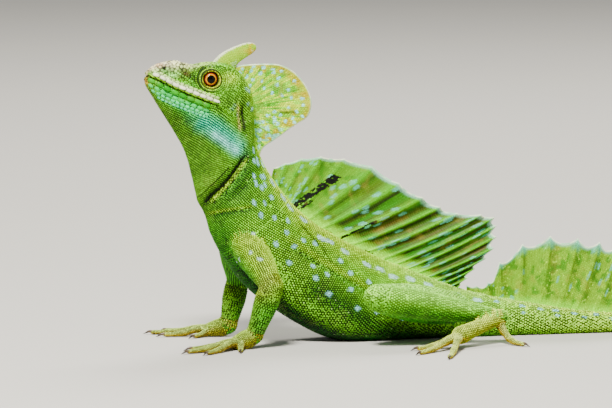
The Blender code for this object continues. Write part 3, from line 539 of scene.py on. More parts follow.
class Shader:
    """A material's node tree round one Principled shader."""

    def __init__(self, name: str) -> None:
        """Starts a material with that name."""
        self.material = bpy.data.materials.new(name)
        self.material.use_nodes = True
        self.nodes = self.material.node_tree.nodes
        self.principled = self.nodes["Principled BSDF"]

    def node(self, kind: str, settings: dict, sockets: dict, output: int | str = 0) -> Value:
        """Adds a node.

        Args:
            kind: The node's type.
            settings: Its properties; "stops" gives a colour ramp as (place, colour) pairs.
            sockets: What its inputs take, by name, identifier or number.
            output: Which output to return.

        Returns:
            The output, ready for maths.
        """
        made = self.nodes.new(kind)
        for key, value in settings.items():
            if key == "stops":
                ramp = made.color_ramp
                while len(ramp.elements) < len(value):
                    ramp.elements.new(0.5)
                for element, (place, colour) in zip(ramp.elements, value):
                    element.position, element.color = place, (*colour, 1.0)
            else:
                setattr(made, key, value)
        for key, value in sockets.items():
            self.connect(made, key, value)
        found = made.outputs[output] if isinstance(output, int) else self.socket(made.outputs, output)
        return Value(self, found)

    @staticmethod
    def socket(sockets: bpy.types.NodeInputs, key: int | str) -> bpy.types.NodeSocket:
        """The socket with that number, identifier or name."""
        if isinstance(key, int):
            return sockets[key]
        return next(item for item in sockets if key in (item.identifier, item.name) and item.enabled)

    def connect(self, node: bpy.types.Node, key: int | str, value: "Value | float | tuple") -> None:
        """Links a value to a node's input, or sets it."""
        target = self.socket(node.inputs, key)
        if isinstance(value, Value):
            self.material.node_tree.links.new(value.socket, target)
        else:
            target.default_value = value

    def finish(self, **sockets: "Value | float | tuple") -> bpy.types.Material:
        """Feeds the Principled shader, with underscores for the spaces in its socket names."""
        for key, value in sockets.items():
            self.connect(self.principled, key.replace("_", " "), value)
        return self.material

    def place(self) -> Value:
        """Object coordinates, in metres."""
        return self.node("ShaderNodeTexCoord", {}, {}, "Object")

    def attribute(self, name: str, output: str = "Color") -> Value:
        """A mesh attribute."""
        return self.node("ShaderNodeAttribute", {"attribute_name": name}, {}, output)

    def noise(self, place: Value, size: float, detail: float = 2.0) -> Value:
        """Noise whose features are about size metres across, from 0 to 1."""
        return self.node(
            "ShaderNodeTexNoise", {}, {"Vector": place, "Scale": 1.0 / size, "Detail": detail, "Roughness": 0.55}
        )

    def shaded(self, colour: "Value | tuple", amount: Value) -> Value:
        """A colour made lighter or darker by an amount."""
        return self.node("ShaderNodeVectorMath", {"operation": "SCALE"}, {"Vector": colour, "Scale": amount})

    def blended(self, share: "Value | float", first: "Value | tuple", second: "Value | tuple") -> Value:
        """A mix of two colours."""
        return self.node(
            "ShaderNodeMix",
            {"data_type": "RGBA"},
            {"Factor_Float": share, "A_Color": first, "B_Color": second},
            "Result_Color",
        )

    def bump(self, height: Value, strength: float, distance: float) -> Value:
        """A bumped normal."""
        return self.node("ShaderNodeBump", {}, {"Height": height, "Strength": strength, "Distance": distance})


@dataclass(frozen=True)
class Finish:
    """A finish whose material is built once.

    Args:
        name: The material's name.
    """

    name: str

    def material(self) -> bpy.types.Material:
        """Finds the material, or builds it."""
        return bpy.data.materials.get(self.name) or self.built(Shader(self.name))

    def built(self, shader: Shader) -> bpy.types.Material:
        """Builds the material round a new shader."""
        raise NotImplementedError


@dataclass(frozen=True)
class HideFinish(Finish):
    """Reptile hide whose colour lies in the mesh, with mottling, grain and a soft gloss.

    Args:
        roughness: How dull it is.
        gloss: How much light it throws back.
        mottle: How much its brightness varies.
        cloud: The size of its mottling in millimetres.
        grain: The size of its grain in millimetres.
        rise: How far the grain stands out in millimetres.
        relief: How strong the grain's bump is.
        tint: A second colour that shows in patches.
        patches: How much of that colour shows.
    """

    roughness: float = 0.46
    gloss: float = 0.15
    mottle: float = 0.3
    cloud: float = 7.0
    grain: float = 0.35
    rise: float = 0.1
    relief: float = 0.25
    tint: Colour = (0.42, 0.5, 0.08)
    patches: float = 0.1

    def built(self, shader: Shader) -> bpy.types.Material:
        """Builds the material round a new shader."""
        place = shader.place()
        broad = shader.noise(place, self.cloud * MM, 3.0)
        fine = shader.noise(place, self.grain * MM, 2.0)
        paint = shader.attribute("paint")
        patch = broad.ramp(0.52, 0.72) * self.patches
        colour = shader.blended(patch, paint, (*self.tint, 1.0))
        brightness = 1.0 - self.mottle / 2 + self.mottle * (0.6 * fine + 0.4 * broad)
        return shader.finish(
            Base_Color=shader.shaded(colour, brightness),
            Roughness=self.roughness + 0.16 * (fine - 0.5) + 0.12 * (broad - 0.5),
            Normal=shader.bump(fine, self.relief, self.rise * MM),
            Specular_IOR_Level=self.gloss,
        )


@dataclass(frozen=True)
class EyeFinish(Finish):
    """A wet eye with a dark round pupil in an orange iris that is yellow inside.

    Args:
        pupil: The pupil's radius in millimetres.
        iris: The iris's radius in millimetres.
        reach: How far the colours are spread, in radii of the iris.
    """

    name: str = "eye_orange_wet"
    pupil: float = 2.1
    iris: float = 3.65
    reach: float = 1.6

    def built(self, shader: Shader) -> bpy.types.Material:
        """Builds the material round a new shader."""
        gaze = shader.attribute("gaze", "Vector")
        flat = shader.node("ShaderNodeVectorMath", {"operation": "MULTIPLY"}, {0: gaze, 1: (1.0, 1.0, 0.0)})
        radius = shader.node("ShaderNodeVectorMath", {"operation": "LENGTH"}, {0: flat}, "Value")
        ray = shader.node("ShaderNodeVectorMath", {"operation": "NORMALIZE"}, {0: flat})
        streaks = shader.noise(ray, 0.13, 3.0)
        flecks = shader.noise(gaze, 0.55, 3.0)
        share = (radius + 0.5 * (streaks - 0.5)) / (self.iris * self.reach)
        edge, rim = self.pupil / (self.iris * self.reach), 1 / self.reach
        colour = shader.node(
            "ShaderNodeValToRGB",
            {
                "stops": (
                    (edge * 0.95, (0.001, 0.001, 0.001)),
                    (edge * 1.06, (0.50, 0.25, 0.0)),
                    (edge * 1.30, (0.44, 0.12, 0.0)),
                    (rim * 0.74, (0.28, 0.04, 0.0)),
                    (rim * 0.84, (0.07, 0.006, 0.0)),
                    (rim * 0.91, (0.006, 0.002, 0.001)),
                    (1.0, (0.004, 0.003, 0.001)),
                )
            },
            {"Fac": share},
        )
        brightness = 0.7 + 0.45 * streaks + 0.25 * flecks
        return shader.finish(
            Base_Color=shader.shaded(colour, brightness),
            Roughness=0.12 + 0.05 * flecks,
            Coat_Weight=0.1,
            Coat_Roughness=0.03,
            Specular_IOR_Level=0.05,
        )


@dataclass(frozen=True)
class ClawFinish(Finish):
    """Horn that darkens to its point.

    Args:
        root: Its colour at the root.
        tip: Its colour at the point.
    """

    name: str = "claw_horn"
    root: Colour = (0.11, 0.07, 0.035)
    tip: Colour = (0.02, 0.013, 0.01)

    def built(self, shader: Shader) -> bpy.types.Material:
        """Builds the material round a new shader."""
        along = shader.attribute("along", "Fac")
        streak = shader.noise(shader.place(), 0.5 * MM, 2.0)
        share = (along + 0.3 * (streak - 0.5)).ramp(0.1, 0.8)
        colour = shader.blended(share, (*self.root, 1.0), (*self.tip, 1.0))
        return shader.finish(Base_Color=colour, Roughness=0.28 + 0.15 * streak, Coat_Weight=0.2)


@dataclass(frozen=True)
class FloorFinish(Finish):
    """A pale matt floor.

    Args:
        colour: Its colour.
    """

    name: str = "pale_floor"
    colour: Colour = (0.54, 0.53, 0.51)

    def built(self, shader: Shader) -> bpy.types.Material:
        """Builds the material round a new shader."""
        cloud = shader.noise(shader.place(), 0.4, 3.0)
        return shader.finish(Base_Color=shader.shaded(self.colour, 0.985 + 0.03 * cloud), Roughness=0.8)


SKIN_FINISH = HideFinish("skin_hide", roughness=0.7, relief=0.35, patches=0.0)
SCALE_FINISH = HideFinish("scale_hide", mottle=0.24)
PLATE_FINISH = HideFinish("head_plate_hide", roughness=0.4, grain=0.5)
SAIL_FINISH = HideFinish(
    "sail_hide", roughness=0.48, grain=0.5, relief=0.3, tint=(0.30, 0.22, 0.03), patches=0.3
)
CREST_FINISH = HideFinish("crest_hide", mottle=0.28, tint=(0.55, 0.36, 0.06), patches=0.25)


# Shapes


def face_outward(shape: bmesh.types.BMesh) -> bmesh.types.BMesh:
    """Turns every face of a closed shape outward."""
    shape.normal_update()
    bmesh.ops.recalc_face_normals(shape, faces=shape.faces)
    return shape


def wrapped(surface: Surface, rings: int, around: int) -> bmesh.types.BMesh:
    """A closed shape laid on a surface.

    Args:
        surface: Gives points for shares along and around, both from 0 to 1.
        rings: Faces along it.
        around: Faces around it.

    Returns:
        The shape, with its seam welded and its ends filled.
    """
    shape = bmesh.new()
    bmesh.ops.create_grid(shape, x_segments=rings, y_segments=around, size=0.5)
    shares = np.array([vert.co[:2] for vert in shape.verts]) + 0.5
    for vert, point in zip(shape.verts, surface(shares[:, 0], shares[:, 1])):
        vert.co = point
    bmesh.ops.remove_doubles(shape, verts=shape.verts, dist=WELD)
    bmesh.ops.holes_fill(shape, edges=[edge for edge in shape.edges if edge.is_boundary])
    return face_outward(shape)


def mesh_of(name: str, shape: bmesh.types.BMesh) -> bpy.types.Mesh:
    """A new mesh from a shape, which is freed."""
    mesh = bpy.data.meshes.new(name)
    shape.to_mesh(mesh)
    shape.free()
    return mesh


def joined(shapes: Sequence[bmesh.types.BMesh]) -> bpy.types.Mesh:
    """One mesh that holds several shapes, which are freed."""
    whole = bmesh.new()
    for shape in shapes:
        passing = mesh_of("passing", shape)
        whole.from_mesh(passing)
        bpy.data.meshes.remove(passing)
    return mesh_of("joined", whole)


def in_scene(name: str, data: bpy.types.ID) -> bpy.types.Object:
    """A new object in the scene."""
    made = bpy.data.objects.new(name, data)
    bpy.context.scene.collection.objects.link(made)
    return made


def evaluated(mesh: bpy.types.Mesh, kind: str, **settings: float | str | bool) -> bpy.types.Mesh:
    """A mesh as one modifier leaves it.

    Args:
        mesh: The mesh, which is removed.
        kind: The modifier's type.
        settings: Its properties.

    Returns:
        The new mesh.
    """
    holder = in_scene("holder", mesh)
    modifier = holder.modifiers.new("work", kind)
    for key, value in settings.items():
        setattr(modifier, key, value)
    made = bpy.data.meshes.new_from_object(holder.evaluated_get(bpy.context.evaluated_depsgraph_get()))
    bpy.data.objects.remove(holder)
    bpy.data.meshes.remove(mesh)
    return made


def points_of(mesh: bpy.types.Mesh) -> Array:
    """The mesh's points as rows."""
    flat = np.empty(len(mesh.vertices) * 3, np.float32)
    mesh.vertices.foreach_get("co", flat)
    return flat.reshape(-1, 3).astype(float)


def set_points(mesh: bpy.types.Mesh, points: Array) -> None:
    """Moves the mesh's points."""
    mesh.vertices.foreach_set("co", np.ascontiguousarray(points, np.float32).ravel())
    mesh.update()


def normals_of(mesh: bpy.types.Mesh) -> Array:
    """The mesh's normals at its points."""
    flat = np.empty(len(mesh.vertices) * 3, np.float32)
    mesh.vertex_normals.foreach_get("vector", flat)
    return flat.reshape(-1, 3).astype(float)


def triangle_count(mesh: bpy.types.Mesh) -> int:
    """How many triangles the mesh has."""
    mesh.calc_loop_triangles()
    return len(mesh.loop_triangles)


def set_paint(mesh: bpy.types.Mesh, colours: Array) -> None:
    """Stores linear colours at the mesh's points, made purer."""
    grey = colours.mean(axis=1, keepdims=True)
    colours = grey + (colours - grey) * PAINT_PURITY
    layer = mesh.attributes.new("paint", "FLOAT_COLOR", "POINT")
    opaque = np.ones((len(colours), 4), np.float32)
    opaque[:, :3] = np.clip(colours, 0.0, 1.0)
    layer.data.foreach_set("color", opaque.ravel())


def make_piece(
    name: str, mesh: bpy.types.Mesh, material: bpy.types.Material, slot: Slot, replaces: Sequence[str] = ()
) -> bpy.types.Object:
    """Makes a finished mesh a piece that rides on the body.

    Args:
        name: The piece's name.
        mesh: Its mesh, in metres in the frame of the solids.
        material: Its material.
        slot: The record's slot; not used.
        replaces: The solids that it stands for.

    Returns:
        The piece.
    """
    mesh.name = name
    mesh.materials.clear()
    mesh.materials.append(material)
    mesh.shade_smooth()
    piece = in_scene(name, mesh)
    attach(piece, "root")
    if replaces:
        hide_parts(*replaces)
    LOG.info("%s: %d triangles", name, triangle_count(mesh))
    return piece


# The trunk and the limbs as surfaces


@dataclass(frozen=True)
class Trunk:
    """The trunk from the nose to the tip of the tail, as one surface before it is posed.

    Args:
        pitches: The spacing of its scales at each station.
    """

    pitches: tuple[float, ...] = (
        0.95, 1.0, 1.05, 1.1, 1.15, 1.15, 1.2, 1.15, 1.1, 1.1, 1.1, 1.12, 1.14, 1.15, 1.2, 1.25, 1.3, 1.3, 1.3,
        1.35, 1.4, 1.45, 1.5, 1.5, 1.5, 1.4, 1.2, 0.95, 0.7,
    )

    def surface(self, place: Array, around: Array, grow: Array | float = 0.0) -> Array:
        """Points on the skin.

        Args:
            place: Stations from the nose.
            around: The angle from the back.
            grow: How far to stand off.

        Returns:
            Rows of x, y, z.
        """
        rows = np.array([(*row[1], *row[2], *row[3:]) for row in STATIONS])
        back_x, back_z, under_x, under_z, width, upper, lower, level = curve_through(rows, place).T
        half = np.stack([back_x - under_x, back_z - under_z], axis=-1) / 2
        length = np.linalg.norm(half, axis=-1)
        middle = np.stack([back_x + under_x, back_z + under_z], axis=-1) / 2
        cosine, sine = np.cos(around), np.sin(around)
        power = 2.0 / np.where(cosine >= 0, upper, lower)
        aside = np.sign(sine) * np.abs(sine) ** power
        up = np.sign(cosine) * np.abs(cosine) ** power
        up = up + level * (1 - up**2)
        centre = middle + half * (up * np.maximum(length + grow, LEAST_TRUNK) / length)[:, None]
        return np.stack([centre[:, 0], np.maximum(width + grow, LEAST_TRUNK) * aside, centre[:, 1]], axis=-1)

    def pitch(self, place: float) -> float:
        """The spacing of the scales at a place."""
        return float(np.interp(place, np.arange(len(self.pitches)), self.pitches))

    def back_height(self, x: Array) -> Array:
        """Height of the back above the floor, behind the neck."""
        places = np.linspace(STATION_NUMBER["throat"], len(STATIONS) - 1, 600)
        back = self.surface(places, np.zeros_like(places))
        return np.interp(x, back[:, 0], back[:, 2])

    def tints(self, place: Array, around: Array) -> Array:
        """The ground colour at each place and angle from the back, with painted shadow in the dark underside of
        the belly.
        """
        knots = [STATION_NUMBER[row[0]] for row in TRUNK_TINTS]
        number = np.interp(place, knots, np.arange(len(knots)))
        columns = ([row[column] for row in TRUNK_TINTS] for column in (1, 2, 3))
        back, side, under = (np.clip(curve_through(column, number), 0, 1) for column in columns)
        turn = np.abs(half_turned(around))
        colour = mixed(back, side, smooth_step(turn, 0.12, 0.95))
        return mixed(colour, under, smooth_step(turn, 1.75, 2.5))


@dataclass(frozen=True)
class Tube:
    """A tapering length of limb or digit along a line of centres.

    Args:
        name: What it is, with its side.
        centres: Its centres as rows.
        widths: Half its width at each centre.
        heights: Half its height at each centre.
        reference: The direction that its height is nearest to.
        pitch: The spacing of its scales.
        tints: Its colours above and below.
        depth: How far its skin lies inside it.
    """

    name: str
    centres: Array
    widths: Array
    heights: Array
    reference: Point
    pitch: float = 1.0
    tints: tuple[Colour, Colour] = ((0.0, 0.0, 0.0), (0.0, 0.0, 0.0))
    depth: float = 0.3

    def surface(self, share: Array, turn: Array, grow: float = 0.0) -> Array:
        """Points on it, for shares along it and angles around it."""
        number = np.clip(share, 0.0, 1.0) * (len(self.centres) - 1)
        tangents = unit(np.gradient(self.centres, axis=0))
        tangent = unit(curve_through(tangents, number))
        aside = unit(np.cross(tangent, np.array(self.reference)))
        up = np.cross(aside, tangent)
        width = np.maximum(curve_through(self.widths, number) + grow, LEAST_TUBE)[:, None]
        height = np.maximum(curve_through(self.heights, number) + grow, LEAST_TUBE)[:, None]
        out = aside * width * np.cos(turn)[:, None]
        return curve_through(self.centres, number) + out + up * height * np.sin(turn)[:, None]

    def shape(self, rings: int = 48, around: int = 24) -> bmesh.types.BMesh:
        """The tube as a closed shape, drawn in to the skin."""
        return wrapped(lambda share, turn: self.surface(share, turn * FULL_TURN, -self.depth), rings, around)


def limb_tube(
    name: str,
    start: Vector,
    end: Vector,
    radii: Sequence[float],
    reference: Point,
    pitch: float,
    tints: tuple[Colour, Colour],
) -> Tube:
    """A rounded length of limb from one joint to the next.

    Args:
        name: What it is, with its side.
        start: The joint it starts at.
        end: The joint it ends at.
        radii: Its radii, evenly spaced from joint to joint.
        reference: The direction that its height is nearest to.
        pitch: The spacing of its scales.
        tints: Its colours above and below.

    Returns:
        The length of limb.
    """
    along = (end - start).normalized()
    centres, sizes = [], []
    for back, share in LIMB_END:
        centres.append(start - along * radii[0] * back)
        sizes.append(radii[0] * share)
    for share in np.arange(7) / 6:
        centres.append(start.lerp(end, share))
        sizes.append(float(curve_through(radii, share * (len(radii) - 1))))
    for back, share in reversed(LIMB_END):
        centres.append(end + along * radii[-1] * back)
        sizes.append(radii[-1] * share)
    rows = np.array([centre[:] for centre in centres])
    return Tube(name, rows, np.array(sizes), np.array(sizes), reference, pitch, tints)


def ahead_of(heading: float) -> Vector:
    """The level direction of a heading."""
    return Vector((math.cos(heading), math.sin(heading), 0.0))


def digit_tube(
    name: str,
    base: Vector,
    heading: float,
    length: float,
    heights: Sequence[float],
    tints: tuple[Colour, Colour],
) -> Tube:
    """A finger or toe with swollen joints, up to where its claw begins.

    Args:
        name: What it is, with its side and number.
        base: Its root.
        heading: Which way it points on the floor.
        length: Its length.
        heights: The heights of its middle above the floor, evenly spaced along it.
        tints: Its colours above and below.

    Returns:
        The digit.
    """
    along = ahead_of(heading)
    centres, sizes = [], []
    count = 3 * (len(DIGIT_RADII) - 1)
    joints = 3 if length > LONG_DIGIT else 2
    for step in range(count + 1):
        share = step / count
        place = base + along * length * share
        centres.append((place.x, place.y, float(curve_through(heights, share * (len(heights) - 1)))))
        swell = 1.0 + 0.09 * math.cos(FULL_TURN * joints * share) * (0.4 + 0.6 * share)
        sizes.append(float(curve_through(DIGIT_RADII, share * (len(DIGIT_RADII) - 1))) * swell)
    for ahead, share in DIGIT_END:
        place = base + along * (length + ahead)
        centres.append((place.x, place.y, heights[-1]))
        sizes.append(DIGIT_RADII[-1] * share)
    rows, sizes = np.array(centres), np.array(sizes)
    return Tube(name, rows, sizes, np.minimum(sizes, rows[:, 2] + 0.1), UPRIGHT, 0.95, tints, 0.12)


def heading_of(turn: float, side: Side) -> float:
    """The direction on the floor that is turned outward from straight ahead by turn degrees."""
    return math.atan2(side.value * math.sin(math.radians(turn)), -math.cos(math.radians(turn)))


def to_side(point: Point, side: Side) -> Vector:
    """A joint as a point on one side of the animal."""
    return Vector((point[0], point[1] * side.value, point[2]))


@dataclass(frozen=True)
class Arm:
    """One arm with its hand.

    Args:
        side: Which side it is on.
        joints: Its shoulder, elbow and wrist.
        upper_tints: The upper arm's colours above and below.
        fore_tints: The forearm's colours.
        hand_tints: The hand's colours.
        finger_tints: The fingers' colours.
    """

    side: Side
    joints: dict[str, Point]
    upper_tints: tuple[Colour, Colour] = ((0.54, 0.88, 0.12), (0.10, 0.42, 0.004))
    fore_tints: tuple[Colour, Colour] = ((0.17, 0.30, 0.006), (0.08, 0.34, 0.0))
    hand_tints: tuple[Colour, Colour] = ((0.40, 0.58, 0.12), (0.30, 0.28, 0.04))
    finger_tints: tuple[Colour, Colour] = ((0.52, 0.68, 0.20), (0.42, 0.30, 0.05))

    def palm(self) -> tuple[Vector, Vector]:
        """The way the hand points, and its knuckles."""
        along = ahead_of(heading_of(HAND_TURN, self.side))
        return along, to_side(self.joints["wrist"], self.side) + along * HAND_REACH

    def fingers(self) -> list[tuple[Vector, float, float]]:
        """Each finger's root, heading and length."""
        along, knuckles = self.palm()
        spread = Vector((-along.y, along.x, 0.0)) * -self.side.value
        return [
            (
                knuckles - along * 2.5 + spread * -3.2 * math.sin(math.radians(turn - 20.0)),
                heading_of(turn, self.side),
                length + 2.0,
            )
            for turn, length in FINGERS
        ]

    def tubes(self) -> list[Tube]:
        """Every length of the arm, from the shoulder to the fingers."""
        joints = (to_side(self.joints[name], self.side) for name in ("shoulder", "elbow", "wrist"))
        (shoulder, elbow, wrist), (along, knuckles) = joints, self.palm()
        knuckles.z = PALM_HEIGHT
        word, across = self.side.word, (1.0, 0.0, 0.0)
        return [
            limb_tube(f"upper_arm_{word}", shoulder, elbow, UPPER_ARM_RADII, across, 1.2, self.upper_tints),
            limb_tube(f"forearm_{word}", elbow, wrist, FOREARM_RADII, across, 1.4, self.fore_tints),
            limb_tube(f"hand_{word}", wrist - along * 0.5, knuckles, PALM_RADII, across, 1.0, self.hand_tints),
            *(
                digit_tube(f"finger_{word}_{number}", root, heading, length, DIGIT_HEIGHTS, self.finger_tints)
                for number, (root, heading, length) in enumerate(self.fingers())
            ),
        ]


@dataclass(frozen=True)
class Leg:
    """One leg with its foot.

    Args:
        side: Which side it is on.
        joints: Its hip, knee and ankle.
        thigh_tints: The thigh's colours above and below.
        shank_tints: The shank's colours.
        sole_tints: The foot's colours.
        toe_tints: The toes' colours.
    """

    side: Side
    joints: dict[str, Point]
    thigh_tints: tuple[Colour, Colour] = ((0.48, 1.00, 0.22), (0.06, 0.34, 0.002))
    shank_tints: tuple[Colour, Colour] = ((0.40, 0.90, 0.16), (0.08, 0.32, 0.006))
    sole_tints: tuple[Colour, Colour] = ((0.76, 1.00, 0.22), (0.40, 0.48, 0.06))
    toe_tints: tuple[Colour, Colour] = ((0.80, 1.00, 0.30), (0.56, 0.42, 0.06))

    def sole(self) -> tuple[Vector, Vector, Vector]:
        """The ankle, the way the foot points and its ball."""
        ankle = to_side(self.joints["ankle"], self.side)
        along = ahead_of(heading_of(FOOT_TURN, self.side))
        ball = ankle + along * FOOT_REACH
        ball.z = FOOT_HEIGHT
        return ankle, along, ball

    def toes(self) -> list[tuple[Vector, float, float, tuple[float, ...]]]:
        """Each toe's root, heading, length and heights."""
        ankle, along, ball = self.sole()
        spread = Vector((along.y, -along.x, 0.0)) * self.side.value
        toes = [
            (
                ball - along * 1.5 - spread * 2.6 * math.sin(math.radians(turn - 30.0)),
                heading_of(turn, self.side),
                length + 1.5,
                TOE_HEIGHTS,
            )
            for turn, length in TOES[:-1]
        ]
        turn, length = TOES[-1]
        heel = ankle + Vector((-1.0, self.side.value * 1.0, 0.0))
        return [*toes, (heel, heading_of(turn, self.side), length, HEEL_TOE_HEIGHTS)]

    def tubes(self) -> list[Tube]:
        """Every length of the leg, from the hip to the toes."""
        hip, knee = (to_side(self.joints[name], self.side) for name in ("hip", "knee"))
        ankle, _, ball = self.sole()
        word = self.side.word
        return [
            limb_tube(f"thigh_{word}", hip, knee, THIGH_RADII, UPRIGHT, 1.62, self.thigh_tints),
            limb_tube(f"shank_{word}", knee, ankle, SHANK_RADII, UPRIGHT, 1.4, self.shank_tints),
            limb_tube(f"foot_{word}", ankle, ball, SOLE_RADII, UPRIGHT, 1.15, self.sole_tints),
            *(
                digit_tube(f"toe_{word}_{number}", root, heading, length, heights, self.toe_tints)
                for number, (root, heading, length, heights) in enumerate(self.toes())
            ),
        ]


@dataclass
class Chart:
    """Where on the trunk or the limbs any point of the skin lies, as an unwrap of the skin's own shape.

    Args:
        trunk: The trunk.
        tubes: The lengths of the limbs.
        labels: The part, the place along it and the angle round it of each sample.
        tree: The samples' places.
    """

    trunk: Trunk
    tubes: list[Tube]
    labels: Array = field(init=False)
    tree: KDTree = field(init=False)

    def __post_init__(self) -> None:
        """Samples every surface."""
        place, around = self.samples(len(STATIONS) - 1, 900, 48)
        rows = [np.stack([np.zeros_like(place), place, around], axis=1)]
        points = [self.trunk.surface(place, around)]
        share, turn = self.samples(1, 40, 16)
        for number, tube in enumerate(self.tubes, start=1):
            rows.append(np.stack([np.full_like(share, number), share, turn], axis=1))
            points.append(tube.surface(share, turn))
        self.labels = np.concatenate(rows)
        self.tree = tree_of(np.concatenate(points))

    @staticmethod
    def samples(end: float, rings: int, around: int) -> tuple[Array, Array]:
        """Places from 0 to end in that many rings, with the angles round each."""
        places, angles = np.linspace(0, end, rings), np.linspace(-math.pi, math.pi, around + 1)[:-1]
        return tuple(grid.ravel() for grid in np.meshgrid(places, angles))

    def locate(self, points: Array) -> tuple[Array, Array, Array]:
        """The part, the place along it and the angle round it for each point."""
        found = self.labels[[self.tree.find(point)[1] for point in points]]
        return found[:, 0].astype(int), found[:, 1], found[:, 2]


# Markings


@dataclass(frozen=True)
class Wash:
    """A soft patch of colour on both sides of the animal.

    Args:
        centre: Its middle as (x, |y|, z).
        reach: How far it reaches along each axis.
        colour: Its colour.
        strength: How much it covers.
        limbs: Whether it covers the limbs too.
    """

    centre: Point
    reach: Point
    colour: Colour
    strength: float
    limbs: bool = False

    def cover(self, points: Array) -> Array:
        """How much it covers at each point."""
        return self.strength * nearness(points, self.centre, self.reach)


@dataclass(frozen=True)
class Stripe:
    """A line of colour on both sides of the animal.

    Args:
        line: Its corners as (x, z).
        width: Half its width.
        colour: Its colour.
        strength: How much it covers.
        beyond: It shows only where |y| is over this.
        limbs: Whether it covers the limbs too.
    """

    line: Line
    width: float
    colour: Colour
    strength: float
    beyond: float = 2.0
    limbs: bool = False

    def cover(self, points: Array) -> Array:
        """How much it covers at each point."""
        away, _, along = distance_to_line(points, self.line)
        ends = smooth_step(along, 0.0, 0.12) * (1 - smooth_step(along, 0.88, 1.0)) * 0.7 + 0.3
        return self.strength * np.exp(-((away / self.width) ** 2)) * ends * (np.abs(points[:, 1]) > self.beyond)


@dataclass(frozen=True)
class SpotRow:
    """A row of pale spots along the trunk.

    Args:
        start: Where it starts, in stations.
        end: Where it ends.
        around: Its angle from the back in degrees, at its start and its end.
        spacing: The distance between spots.
        size: The radius of a spot along and across the row.
        colour: The spots' colour.
        stray: How far a spot strays along the row, as a share of the spacing, and across it in degrees.
    """

    start: float
    end: float
    around: tuple[float, float]
    spacing: float
    size: tuple[float, float]
    colour: Colour = PALE_BLUE
    stray: tuple[float, float] = (0.28, 5.0)

    def spots(self, trunk: Trunk, random: np.random.Generator) -> Array:
        """The middles of its spots on both sides, as rows of x, y, z."""
        found = []
        for side in Side:
            places = np.linspace(self.start, self.end, 400)
            turn = np.radians(np.linspace(*self.around, 400)) * side.value
            length = run_along(trunk.surface(places, turn))
            marks = np.arange(self.spacing / 2, length[-1], self.spacing)
            along, across = (random.uniform(-most, most, len(marks)) for most in self.stray)
            marks = marks + along * self.spacing
            lifted = np.interp(marks, length, turn) + np.radians(across)
            for shift in np.linspace(-1.0, 1.0, 5) * (self.size[0] - self.size[1]):
                found.append(trunk.surface(np.interp(marks + shift, length, places), lifted))
        return np.concatenate(found)


